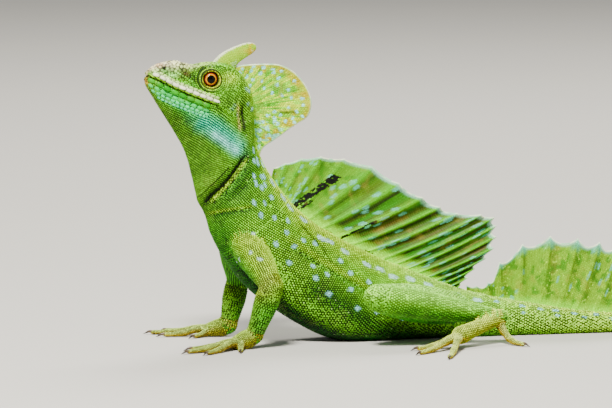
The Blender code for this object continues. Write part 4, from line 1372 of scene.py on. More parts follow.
@dataclass
class Markings:
    """The colours of the skin, which its scales share.

    Args:
        chart: The unwrap of the skin.
        washes: The patches and stripes, in the order they are laid.
        spot_rows: The rows of spots on the trunk.
        rings: The rings round the eye, as (radius, colour), the dark ones painted shade in the grooves of the
            lids.
        spots: The middles of the spots of each row.
    """

    chart: Chart
    washes: tuple[Wash | Stripe, ...] = (
        Wash((-41.0, 11.0, 126.0), (8.0, 8.0, 9.0), (0.14, 0.40, 0.0), 0.6),
        Wash((-43.0, 10.0, 133.0), (5.0, 8.0, 3.0), (0.66, 0.90, 0.20), 0.5),
        Wash((-46.0, 10.0, 121.5), (4.0, 8.0, 2.0), (0.14, 0.34, 0.02), 0.4),
        Stripe(((-79.5, 129.0), (-70.0, 122.5), (-58.0, 115.5), (-46.0, 107.5)), 3.8, (0.08, 0.64, 0.13), 0.85),
        Stripe(((-60.0, 113.0), (-50.0, 108.5), (-41.0, 101.5), (-34.5, 95.5)), 4.6, (0.08, 0.68, 0.42), 0.97),
        Stripe(((-52.0, 106.5), (-45.0, 101.5), (-37.0, 95.5)), 2.0, (0.42, 1.0, 0.95), 0.8),
        # Pale cream on top of the snout: partly its own colour, partly painted highlight along its top.
        Wash((-75.0, 3.0, 140.2), (8.5, 5.5, 3.2), (0.90, 0.82, 0.60), 0.95),
        Wash((-63.0, 3.5, 141.0), (7.0, 6.0, 3.2), (0.88, 0.88, 0.56), 0.95),
        Wash((-54.5, 3.0, 141.2), (6.0, 4.5, 1.7), (0.80, 0.90, 0.42), 0.8),
        Wash((-32.0, 7.0, 126.0), (4.5, 8.0, 12.0), (0.42, 0.80, 0.01), 0.6),
        *(Wash((x, 8.0, z), (0.95, 6.0, 0.95), PALE_BLUE, 0.95) for x, z in CHEEK_SPOTS),
        Wash((-76.5, 3.0, 140.4), (1.5, 3.0, 1.3), (0.62, 0.16, 0.02), 0.7),
        Wash((-70.5, 7.0, 134.8), (5.0, 4.0, 1.8), (0.36, 0.72, 0.26), 0.6),
        # Dark stripes and a dark patch before the eye: painted shade in the hollow below the canthal ridge.
        Stripe(((-67.0, 138.0), (-64.9, 135.9), (-60.3, 132.3), (-56.0, 128.6)), 0.75,
               (0.025, 0.04, 0.006), 0.95, 4.0),
        Stripe(((-63.4, 137.4), (-60.8, 134.6), (-58.4, 131.6), (-54.8, 127.4)), 0.5,
               (0.03, 0.07, 0.006), 0.9, 4.0),
        Stripe(((-69.5, 135.0), (-65.5, 132.8), (-61.5, 130.4)), 0.55, (0.05, 0.07, 0.01), 0.8, 4.0),
        Wash((-64.4, 7.0, 135.8), (2.3, 6.0, 1.9), (0.03, 0.014, 0.003), 1.0),
        Wash((-83.6, 1.5, 132.0), (1.5, 3.5, 1.8), (0.85, 0.34, 0.12), 0.9),
        Stripe(((-80.0, 136.4), (-73.7, 132.9), (-68.6, 130.2), (-58.0, 125.6), (-50.0, 122.5)), 0.9,
               (0.85, 1.0, 0.62), 0.85),
        Stripe(((-87.0, 135.6), *MOUTH_LINE, (-47.5, 117.6)), 0.5, (0.004, 0.006, 0.002), 1.0, 0.0),
        Wash((NOSTRIL_PLACE[0], 5.0, NOSTRIL_PLACE[1] - 0.6), (2.0, 4.5, 1.6), (0.16, 0.46, 0.10), 0.8),
        # Black in the nostril: painted shade inside its opening.
        Wash((NOSTRIL_PLACE[0], 5.0, NOSTRIL_PLACE[1]), (1.15, 4.5, 1.05), (0.002, 0.002, 0.001), 1.0),
        Stripe(((-37.4, 120.8), (-36.4, 114.0), (-35.0, 106.0)), 1.0, (0.008, 0.02, 0.003), 0.95, 6.0),
        Stripe(((-39.6, 120.0), (-38.8, 113.0), (-37.6, 107.0)), 0.9, (0.80, 0.80, 0.30), 0.85, 6.0),
        Stripe(((-31.0, 90.0), (-37.0, 81.0), (-43.5, 73.0)), 3.4, (0.05, 0.24, 0.01), 0.55, 1.0),
        Stripe(((-5.3, 60.2), (0.6, 53.0), (5.0, 48.0), (8.8, 42.4)), 0.55, (0.008, 0.02, 0.0), 0.85, 4.0),
        # Near-black along the throat fold: painted shadow under the rear edge of the throat pouch.
        Stripe(THROAT_FOLD, 1.7, (0.006, 0.02, 0.001), 1.0, 0.6),
        Stripe(((-31.6, 93.6), (-38.9, 83.2), (-44.3, 76.8), (-49.4, 70.8)), 0.7, (0.46, 0.68, 0.05), 0.7, 1.0),
        # A thin dark line: painted shade in the crease behind the throat fold.
        Stripe(((-29.0, 88.5), (-35.5, 80.0), (-41.0, 74.0)), 0.5, (0.02, 0.08, 0.003), 0.6, 1.0),
        # Dark below the shoulder fold: painted shadow in its crease.
        Stripe(tuple((x, z - 0.9) for x, z in SHOULDER_FOLD), 1.2, (0.02, 0.12, 0.003), 0.7, 2.0),
        Stripe(tuple((x, z + 0.9) for x, z in SHOULDER_FOLD), 0.7, (0.50, 0.80, 0.08), 0.6, 2.0),
        # A broad dark band low on the flank and the belly: painted shadow under the flank.
        Stripe(((-6.0, 32.0), (12.0, 20.5), (34.0, 7.0), (56.0, -2.0)), 9.0, (0.010, 0.10, 0.0), 0.85, 6.0),
        Stripe(tuple((x, z + 2.6) for x, z in FLANK_FOLD), 1.9, (0.56, 0.92, 0.10), 0.55, 6.0),
        # Dark along the flank fold: painted shadow below its raised ridge.
        Stripe(tuple((x, z - 0.8) for x, z in FLANK_FOLD), 1.7, (0.04, 0.22, 0.003), 0.6, 6.0),
        Wash((-25.0, 30.0, 31.0), (6.0, 6.0, 6.0), (0.66, 0.72, 0.24), 0.7, True),
        Wash((28.0, 40.0, 24.0), (11.0, 9.0, 9.0), (0.34, 0.80, 0.10), 0.6, True),
    )
    spot_rows: tuple[SpotRow, ...] = (
        SpotRow(11.0, 19.6, (23.0, 38.0), 8.8, (2.6, 1.45), (0.62, 1.0, 0.94)),
        SpotRow(10.2, 18.4, (42.0, 56.0), 11.0, (1.6, 1.3)),
        SpotRow(11.6, 18.0, (58.0, 72.0), 11.0, (1.6, 1.4)),
        SpotRow(12.2, 17.2, (80.0, 88.0), 13.0, (1.6, 1.35)),
        SpotRow(9.8, 12.6, (44.0, 86.0), 6.5, (1.9, 0.95)),
        SpotRow(10.4, 12.4, (30.0, 62.0), 8.0, (1.7, 0.95)),
        SpotRow(19.8, 25.5, (38.0, 42.0), 10.0, (1.8, 0.9)),
        SpotRow(19.8, 25.0, (64.0, 60.0), 14.0, (1.4, 0.8)),
    )
    rings: tuple[tuple[float, Colour], ...] = (
        # Near-black rings: painted shade where the lids meet the eye and in the grooves between the lid folds.
        (3.9, (0.004, 0.003, 0.001)), (4.1, (0.40, 0.46, 0.0)), (4.4, (0.85, 1.0, 0.02)),
        (4.75, (0.66, 0.88, 0.0)), (4.98, (0.003, 0.008, 0.0)), (5.4, (0.006, 0.016, 0.0)),
        (5.7, (0.36, 0.70, 0.01)), (6.1, (0.22, 0.50, 0.0)), (6.45, (0.008, 0.03, 0.0)),
        (6.85, (0.02, 0.06, 0.0)), (7.3, (0.22, 0.48, 0.0)),
    )
    spots: list[tuple[Array, SpotRow]] = field(init=False)

    def __post_init__(self) -> None:
        """Sets out the spots."""
        random = np.random.default_rng(SPOT_SEED)
        self.spots = [(row.spots(self.chart.trunk, random), row) for row in self.spot_rows]

    def arm_spots(self) -> Array:
        """The middles of the few spots on the shoulders and upper arms."""
        random = np.random.default_rng(ARM_SPOT_SEED)
        found = []
        for tube in self.chart.tubes:
            if tube.name.startswith("upper_arm"):
                share = np.linspace(0.28, 0.62, 9) + random.uniform(-0.03, 0.03, 9)
                found.append(tube.surface(share, random.uniform(-math.pi, math.pi, 9)))
        return np.concatenate(found)

    def paint(self, points: Array, normals: Array, scattered: Array | None = None) -> Array:
        """The colour of the skin or of a scale.

        Args:
            points: Rows of x, y, z in the straight animal.
            normals: The skin's normals there.
            scattered: A random value for each scale, or None on the skin.

        Returns:
            Rows of linear red, green and blue.
        """
        part, along, around = self.chart.locate(points)
        colour = self.chart.trunk.tints(np.where(part == 0, along, 0.0), around)
        for number, tube in enumerate(self.chart.tubes, start=1):
            here = part == number
            if here.any():
                top, under = (np.array(tint) for tint in tube.tints)
                share = smooth_step(normals[here, 2], -0.5, 0.75)
                colour[here] = mixed(np.broadcast_to(under, (here.sum(), 3)), top, share)
        trunk = part == 0
        for wash in self.washes:
            colour = mixed(colour, wash.colour, wash.cover(points) * (trunk | wash.limbs))
        colour = self.ringed(colour, points, trunk)
        cloud = soft_noise(points, 6.0, Pattern.CLOUDS)
        streaks = soft_noise(points, (3.2, 3.2, 1.4), Pattern.STREAKS)
        colour = colour * ((0.80 + 0.40 * cloud) * (0.84 + 0.32 * streaks))[:, None]
        bands = 0.5 + 0.5 * np.sin(FULL_TURN * points[:, 0] / TAIL_BANDS)
        colour = mixed(colour, colour * 0.42, bands * smooth_step(points[:, 0], 210.0, 330.0) * trunk * 0.8)
        for middles, row in self.spots:
            colour = self.dotted(colour, points, middles, row.size[1], row.colour)
        colour = self.dotted(colour, points, self.arm_spots(), 1.1, (0.66, 0.98, 0.86))
        if scattered is not None:
            pale = (scattered > 0.985) & trunk & (points[:, 0] > -36.0)
            colour = mixed(varied(colour, scattered, 0.54, 0.88), (0.55, 0.80, 0.40), 0.4 * pale)
        return colour

    def ringed(self, colour: Array, points: Array, trunk: Array) -> Array:
        """Colours with the light and dark rings of the eyelids laid over them, the dark rings painted shade in
        their grooves.
        """
        away = np.hypot(points[:, 0] - EYE_PLACE[0], (points[:, 2] - EYE_PLACE[2]) / 0.94)
        radii = [row[0] for row in self.rings]
        tint = np.stack([np.interp(away, radii, [row[1][i] for row in self.rings]) for i in range(3)], axis=1)
        beside = trunk * (np.abs(points[:, 1]) > 5.5) * (points[:, 2] > 120.0)
        cover = 0.97 * (1 - smooth_step(away, 6.6, 8.2)) * beside
        cover = cover * (1 - smooth_step(away, 5.4, 5.9) * smooth_step(points[:, 0] - EYE_PLACE[0], 0.0, 3.5))
        return mixed(colour, tint, cover)

    @staticmethod
    def dotted(colour: Array, points: Array, middles: Array, radius: float, tint: Colour) -> Array:
        """Colours with spots laid over them.

        Args:
            colour: The colours at the points.
            points: Rows of x, y, z.
            middles: The middles of the spots.
            radius: Their radius.
            tint: Their colour.

        Returns:
            The colours.
        """
        ragged = 0.25 * (soft_noise(points, 0.9, Pattern.SPOT_EDGES) - 0.5)
        cover = 1 - smooth_step(nearest(tree_of(middles), points) / radius + ragged, 0.75, 1.15)
        return mixed(colour, tint, 0.92 * cover)


# The skin


@dataclass(frozen=True)
class Swelling:
    """A rounded rise or hollow of the skin, on both sides.

    Args:
        centre: Its middle as (x, |y|, z).
        reach: How far it reaches along each axis.
        height: How far it stands out.
    """

    centre: Point
    reach: Point
    height: float

    def rise(self, points: Array) -> Array:
        """How far it lifts each point."""
        return self.height * nearness(points, self.centre, self.reach)


@dataclass(frozen=True)
class Fold:
    """A crease in the skin with a soft roll beside it, on both sides.

    Args:
        line: Its corners as (x, z).
        depth: How deep the crease is.
        width: Half its width.
        roll: How high the roll on its left stands, looking along it.
        beyond: It shows only where |y| is over this.
    """

    line: Line
    depth: float
    width: float
    roll: float
    beyond: float

    def rise(self, points: Array) -> Array:
        """How far it lifts each point."""
        away, signed, along = distance_to_line(points, self.line)
        ends = smooth_step(along, 0.0, 0.15) * (1 - smooth_step(along, 0.85, 1.0))
        crease = -self.depth * np.exp(-((away / self.width) ** 2))
        roll = self.roll * np.exp(-(((signed - 2.4 * self.width) / (1.5 * self.width)) ** 2))
        return (crease + roll) * ends * smooth_step(np.abs(points[:, 1]), self.beyond, self.beyond + 2.0)


@dataclass
class Skin:
    """One skin over the head, the trunk, the tail and the limbs.

    Args:
        chart: The unwrap of the skin.
        voxel: The size of the grid on which the lengths of the body are fused.
        depth: How far it lies inside the solids.
        tail_extra: How much stouter the thin tail is made while the lengths are fused.
        rounds: How many times it is smoothed.
        floor_gap: How high its lowest points lie above the floor.
        most_triangles: How many triangles it may keep.
        swellings: The rises and hollows worked into it.
        folds: The creases worked into it.
        mesh: Its mesh.
        points: Its points.
        normals: The normals at its points.
        faces: The points of each face.
        tree: Its faces, to find the nearest one.
    """

    chart: Chart
    voxel: float = 0.62
    depth: float = 0.32
    tail_extra: float = 1.0
    rounds: int = 3
    floor_gap: float = 0.06
    most_triangles: int = 185_000
    swellings: tuple[Swelling, ...] = (
        Swelling((-52.0, 8.0, 138.4), (9.0, 2.6, 2.6), 1.0),
        Swelling((-67.5, 4.6, 139.6), (7.0, 2.6, 2.6), 2.0),
        Swelling((-59.0, 0.0, 141.0), (5.5, 5.0, 4.0), -1.2),
        Swelling((-41.0, 13.0, 121.0), (8.0, 6.0, 8.0), 1.5),
        Swelling((-66.0, 7.6, 132.4), (8.0, 3.0, 2.8), -0.9),
        Swelling((-52.2, 11.0, 132.4), (7.0, 5.0, 5.5), -0.9),
        Swelling((NOSTRIL_PLACE[0], 5.6, NOSTRIL_PLACE[1]), (2.2, 2.4, 1.8), 0.55),
        Swelling((NOSTRIL_PLACE[0], 5.0, NOSTRIL_PLACE[1]), (0.95, 4.5, 0.85), -2.0),
        Swelling((EAR_PLACE[0], 13.0, EAR_PLACE[1]), (2.4, 4.0, 4.4), -1.7),
        Swelling((-40.6, 13.0, 113.6), (1.3, 4.0, 5.0), 0.7),
        Swelling((-49.0, 9.0, 112.0), (7.0, 6.0, 4.0), 0.6),
        Swelling((-45.0, 4.0, 97.0), (8.0, 8.0, 9.0), 0.9),
        Swelling((-14.0, 13.0, 62.0), (7.0, 6.0, 8.0), 0.8),
        Swelling((-25.0, 24.0, 40.0), (7.0, 7.0, 6.0), 0.5),
        Swelling((-28.0, 31.0, 25.0), (5.0, 5.0, 6.0), 0.5),
        Swelling((44.0, 36.0, 22.0), (14.0, 9.0, 9.0), 0.7),
        Swelling((60.0, 33.0, 17.0), (14.0, 8.0, 7.0), 0.6),
    )
    folds: tuple[Fold, ...] = (
        Fold(((-92.0, 137.4), *MOUTH_LINE, (-44.5, 115.6)), 1.0, 0.6, 0.3, 0.0),
        Fold(((-81.5, 136.8), (-73.7, 132.8), (-68.6, 130.1), (-58.0, 125.5), (-50.0, 122.4)), -0.75, 1.1,
             0.0, 0.0),
        Fold(((-79.0, 131.0), (-68.6, 125.9), (-58.0, 121.3), (-50.0, 118.3)), -0.45, 1.1, 0.0, 0.0),
        Fold(((-49.0, 119.0), (-44.0, 114.5), (-40.0, 108.5)), 0.6, 0.9, 0.4, 4.0),
        Fold(THROAT_FOLD, 2.0, 1.3, -1.1, 1.0),
        Fold(((-27.5, 87.0), (-34.0, 79.0), (-41.0, 71.5), (-47.0, 66.0)), 0.5, 1.3, 0.35, 2.0),
        Fold(SHOULDER_FOLD, 0.7, 1.4, 0.5, 2.0),
        Fold(FLANK_FOLD, 1.1, 1.8, 0.9, 6.0),
        Fold(((2.0, 53.0), (10.0, 43.0), (19.0, 34.0), (24.0, 29.0)), 0.45, 1.3, 0.35, 6.0),
        Fold(((18.0, 44.0), (26.0, 35.0), (33.0, 29.0)), 0.4, 1.3, 0.3, 6.0),
        Fold(((-22.0, 73.0), (-17.0, 62.0), (-16.5, 52.0)), 0.5, 1.0, 0.3, 6.0),
        Fold(((-36.0, 101.0), (-31.0, 92.0)), 0.5, 1.0, 0.2, 5.0),
    )
    mesh: bpy.types.Mesh = field(init=False)
    points: Array = field(init=False)
    normals: Array = field(init=False)
    faces: list[tuple[int, ...]] = field(init=False)
    tree: BVHTree = field(init=False)

    def extra(self, place: Array) -> Array:
        """How much stouter the tail is made while the skin is fused."""
        return self.tail_extra * smooth_step(place, 24.0, 26.0)

    def fused(self) -> bpy.types.Mesh:
        """The trunk, the limbs, the lips and the lids, fused into one closed mesh."""
        trunk, last = self.chart.trunk, len(STATIONS) - 1

        def loft(share: Array, turn: Array) -> Array:
            """The trunk, drawn in to the skin."""
            place = share * last
            return trunk.surface(place, turn * FULL_TURN, self.extra(place) - self.depth)

        shapes = [wrapped(loft, 420, 96)]
        shapes += [tube.shape() for tube in self.chart.tubes]
        shapes += [self.lid(side) for side in Side]
        return evaluated(joined(shapes), "REMESH", mode="VOXEL", voxel_size=self.voxel)

    def lid(self, side: Side) -> bmesh.types.BMesh:
        """The ring of skin that stands round one eye."""

        def surface(share: Array, turn: Array) -> Array:
            """The ring, as points for shares along it and round its section."""
            part, angle = share * FULL_TURN, turn * FULL_TURN
            ring = LID_RING_RADIUS + 0.05 + (LID_RADIUS + 0.05) * np.cos(angle)
            wide = 1.0 + 0.05 * np.cos(2 * part)
            return np.stack(
                [
                    EYE_PLACE[0] + ring * wide * np.cos(part),
                    side.value * (LID_PLACE + LID_DEPTH * np.sin(angle)),
                    EYE_PLACE[2] + 0.91 * ring * np.sin(part),
                ],
                axis=-1,
            )

        return wrapped(surface, 64, 16)

    def build(self) -> None:
        """Fuses the skin and works its folds, swellings and wrinkles into it."""
        mesh = self.fused()
        shape = bmesh.new()
        shape.from_mesh(mesh)
        axes = {f"use_axis_{axis}": True for axis in "xyz"}
        for _ in range(self.rounds):
            bmesh.ops.smooth_vert(shape, verts=shape.verts, factor=0.5, **axes)
        shape.to_mesh(mesh)
        shape.free()
        points, normals = points_of(mesh), normals_of(mesh)
        part, place, _ = self.chart.locate(points)
        trunk = part == 0
        points = self.slimmed(points, trunk, place)
        rise = sum(swelling.rise(points) for swelling in self.swellings)
        rise = rise + trunk * sum(fold.rise(points) for fold in self.folds)
        rise = rise + self.wrinkles(points, trunk)
        points = points + normals * np.asarray(rise)[:, None]
        points = self.socketed(points)
        points[:, 2] = np.maximum(points[:, 2], self.floor_gap)
        set_points(mesh, points)
        count = triangle_count(mesh)
        LOG.info("skin before thinning: %d triangles", count)
        if count > self.most_triangles:
            mesh = evaluated(mesh, "DECIMATE", decimate_type="COLLAPSE", ratio=self.most_triangles / count)
        self.mesh = mesh
        self.points, self.normals = points_of(mesh), normals_of(mesh)
        self.faces = [tuple(polygon.vertices) for polygon in mesh.polygons]
        self.tree = BVHTree.FromPolygons([Vector(point) for point in self.points], self.faces)

    def slimmed(self, points: Array, trunk: Array, place: Array) -> Array:
        """Draws the tail in to its true size again.

        Args:
            points: The skin's points.
            trunk: Whether each is on the trunk.
            place: Its station.

        Returns:
            The points.
        """
        points = np.array(points)
        rows = np.array([(row[1][1], row[2][1], row[3]) for row in STATIONS])
        top, bottom, width = curve_through(rows, place).T
        extra = self.extra(place)
        half, middle = (top - bottom) / 2 - self.depth, (top + bottom) / 2
        wide = np.maximum(width - self.depth, 0.2)
        high = np.maximum(half, 0.2)
        tail = trunk & (extra > 0)
        points[tail, 1] *= (wide / (wide + extra))[tail]
        points[tail, 2] = (middle + (points[:, 2] - middle) * high / (high + extra))[tail]
        return points

    @staticmethod
    def wrinkles(points: Array, trunk: Array) -> Array:
        """Fine rings round the eyes, and fine creases over the skin."""
        away = np.hypot(points[:, 0] - EYE_PLACE[0], (points[:, 2] - EYE_PLACE[2]) * 1.1)
        rings = np.cos(FULL_TURN * away / 1.55) * smooth_step(away, 4.6, 5.4)
        rings = rings * (1 - smooth_step(away, 7.5, 10.0))
        beside = (np.abs(points[:, 1]) > 6.0) & trunk & (points[:, 2] > 122.0)
        creases = soft_noise(points, 2.4, Pattern.FINE_CREASES)
        creases = creases + soft_noise(points, 5.0, Pattern.BROAD_CREASES) - 1.0
        return 0.2 * rings * beside + 0.16 * creases * (points[:, 0] < 140.0)

    @staticmethod
    def socketed(points: Array) -> Array:
        """Draws the skin in behind each eye, so that only the lids stand round it."""
        points = np.array(points)
        socket = EYE_RADIUS - 0.6
        for side in Side:
            offset = points - (EYE_PLACE[0], EYE_PLACE[1] * side.value, EYE_PLACE[2])
            ring = np.hypot(offset[:, 0], offset[:, 2])
            inside = (ring < LID_RING_RADIUS - 0.7) & (points[:, 1] * side.value > 5.0)
            inside &= np.linalg.norm(offset, axis=1) > socket
            reach = np.sqrt(np.maximum(socket**2 - ring[inside] ** 2, 0.0))
            points[inside, 1] = side.value * (EYE_PLACE[1] + reach)
        return points

    def snap(self, points: Array) -> tuple[Array, Array, Array]:
        """The nearest point of the skin, its normal and how far it is, for each point."""
        found, normals, away = np.empty((len(points), 3)), np.empty((len(points), 3)), np.empty(len(points))
        for number, point in enumerate(points):
            location, _, face, distance = self.tree.find_nearest(Vector(point))
            found[number], away[number] = location, distance
            normals[number] = self.normals[list(self.faces[face])].mean(axis=0)
        return found, unit(normals), away

    def beside(self, places: Array, side: Side) -> tuple[Array, Array]:
        """The skin as it is met from the side.

        Args:
            places: Rows of x, z.
            side: Which side to come from.

        Returns:
            The points and their normals.
        """
        found, normals = np.empty((len(places), 3)), np.empty((len(places), 3))
        for number, (x, z) in enumerate(places):
            start = Vector((x, 60.0 * side.value, z))
            location, _, face, _ = self.tree.ray_cast(start, Vector((0.0, -side.value, 0.0)))
            if face is None:
                location, _, face, _ = self.tree.find_nearest(Vector((x, 5.0 * side.value, z)))
            found[number] = location
            normals[number] = self.normals[list(self.faces[face])].mean(axis=0)
        return found, unit(normals)

    def scatter(self, count: int, random: np.random.Generator) -> tuple[Array, Array]:
        """Random points spread evenly over the skin, with their normals."""
        corners = np.empty(triangle_count(self.mesh) * 3, np.int32)
        self.mesh.loop_triangles.foreach_get("vertices", corners)
        corners = corners.reshape(-1, 3)
        first, second, third = (self.points[corners[:, i]] for i in range(3))
        area = np.linalg.norm(np.cross(second - first, third - first), axis=1) / 2
        LOG.info("skin area %.0f square millimetres", area.sum())
        chosen = random.choice(len(area), count, p=area / area.sum())
        u, v = random.random((2, count))
        flip = u + v > 1
        u, v = np.where(flip, 1 - u, u)[:, None], np.where(flip, 1 - v, v)[:, None]
        points = first[chosen] + u * (second - first)[chosen] + v * (third - first)[chosen]
        return points, unit(self.normals[corners[chosen]].mean(axis=1))

    def dress(self, markings: Markings) -> bpy.types.Object:
        """Paints the skin dark as painted shade between the scales, poses it and makes it a piece."""
        head = smooth_step(self.points[:, 2], 112.0, 128.0) * (self.points[:, 0] < -38.0)
        colour = markings.paint(self.points, self.normals)
        pale = smooth_step(colour[:, 2], 0.5, 0.9) * (1 - head)
        rear = smooth_step(self.points[:, 0], 0.0, 60.0) * smooth_step(self.points[:, 2], 8.0, 20.0)
        # The skin shows only between the scales and is darkened as painted shade in those gaps, less on the
        # head, under pale spots and at the rear.
        colour = colour * (0.05 + 0.12 * head + 0.4 * pale + 0.25 * rear)[:, None]
        mesh = self.mesh.copy()
        set_points(mesh, in_frame(self.points))
        set_paint(mesh, colour)
        limbs = product(("upper_arm", "forearm", "hand", "thigh", "shank", "foot"), Side)
        flesh = [
            "head", "lower_jaw", "neck", "torso", "tail_base", "tail_second", "tail_third", "tail_tip",
            *(f"{part}_{side.word}" for part, side in limbs),
        ]
        return make_piece("skin", mesh, SKIN_FINISH.material(), Slot.LEAF, flesh)


# Scales


def lattice(
    surface: Surface,
    span: tuple[float, float],
    turn: tuple[float, float],
    pitch: Callable[[float], float],
    closed: bool = True,
    row_step: float = 0.87,
) -> tuple[Array, Array]:
    """Places for scales in staggered rows across a surface.

    Args:
        surface: Gives points for places along and around it.
        span: Where the rows start and end along it.
        turn: Where each row starts and ends around it.
        pitch: The spacing at a place along it.
        closed: Whether each row meets itself.
        row_step: The distance from row to row, as a share of the spacing.

    Returns:
        The places along and around.
    """
    finer = np.linspace(*span, 900)
    sides = np.linspace(*turn, 9)[:-1]
    steps = [
        np.linalg.norm(np.diff(surface(finer, np.full_like(finer, side)), axis=0), axis=1) for side in sides
    ]
    length = np.concatenate(([0.0], np.cumsum(np.mean(steps, axis=0))))
    angles = np.linspace(*turn, 121)
    along, around, reached, odd = [], [], 0.0, False
    while reached < length[-1]:
        place = float(np.interp(reached, length, finer))
        ring = surface(np.full_like(angles, place), angles)
        arc = run_along(ring)
        count = max(4 if closed else 1, round(arc[-1] / pitch(place)))
        shares = (np.arange(count) + (0.5 if odd else 0.0)) / count
        around.append(np.interp(shares * arc[-1], arc, angles))
        along.append(np.full(count, place))
        reached += row_step * pitch(place)
        odd = not odd
    return np.concatenate(along), np.concatenate(around)


@dataclass(frozen=True)
class ScaleShape:
    """The form that a kind of scale has before it is set out.

    Args:
        sides: How many sides it has.
        top: The size of its top, as a share.
        crown: The height of its middle above its top, as a share of its height.
        pointed: How far its rear end is drawn out.
        square: How square its outline is, from 2 for round.
    """

    sides: int = 5
    top: float = 0.72
    crown: float = 0.45
    pointed: float = 0.25
    square: float = 2.0

    def template(self) -> tuple[Array, list[tuple[int, ...]]]:
        """Its points, of unit length, width and height, and its faces."""
        shape = bmesh.new()
        bmesh.ops.create_circle(shape, cap_ends=True, segments=self.sides, radius=0.5)
        base = shape.faces[:]
        grown = bmesh.ops.extrude_face_region(shape, geom=base)
        crest = [item for item in grown["geom"] if isinstance(item, bmesh.types.BMVert)]
        lid = [item for item in grown["geom"] if isinstance(item, bmesh.types.BMFace)]
        bmesh.ops.scale(shape, vec=(self.top, self.top, 1.0), verts=crest)
        bmesh.ops.translate(shape, vec=(0.0, 0.0, 1.0 - self.crown), verts=crest)
        poked = bmesh.ops.poke(shape, faces=lid)
        for vert in poked["verts"]:
            vert.co.z = 1.0
        if not any(face for face in shape.faces if all(vert.co.z == 0.0 for vert in face.verts)):
            bmesh.ops.holes_fill(shape, edges=[edge for edge in shape.edges if edge.is_boundary])
        face_outward(shape)
        for vert in shape.verts:
            away = math.hypot(vert.co.x, vert.co.y)
            if away > 0:
                flat = [abs(value / away) for value in vert.co[:2]]
                away = (flat[0] ** self.square + flat[1] ** self.square) ** (-1 / self.square)
                vert.co.x, vert.co.y = vert.co.x * away, vert.co.y * away
            turned = Vector((vert.co.y, -vert.co.x, vert.co.z))
            turned.x += self.pointed * max(turned.x, 0.0) - 0.1 * abs(turned.y)
            vert.co = turned
        shape.verts.ensure_lookup_table()
        points = np.array([vert.co[:] for vert in shape.verts])
        faces = [tuple(vert.index for vert in face.verts) for face in shape.faces]
        shape.free()
        return points, faces


BODY_SCALE = ScaleShape(top=0.66)
PLATE = ScaleShape(sides=6, top=0.78, crown=0.3, pointed=0.0)
BEAD = ScaleShape(sides=6, top=0.7, crown=0.45, pointed=0.0)
SCUTE = ScaleShape(sides=12, top=0.84, crown=0.22, pointed=0.0, square=5.0)
SHIELD = ScaleShape(sides=10, top=0.8, crown=0.3, pointed=0.0, square=2.7)


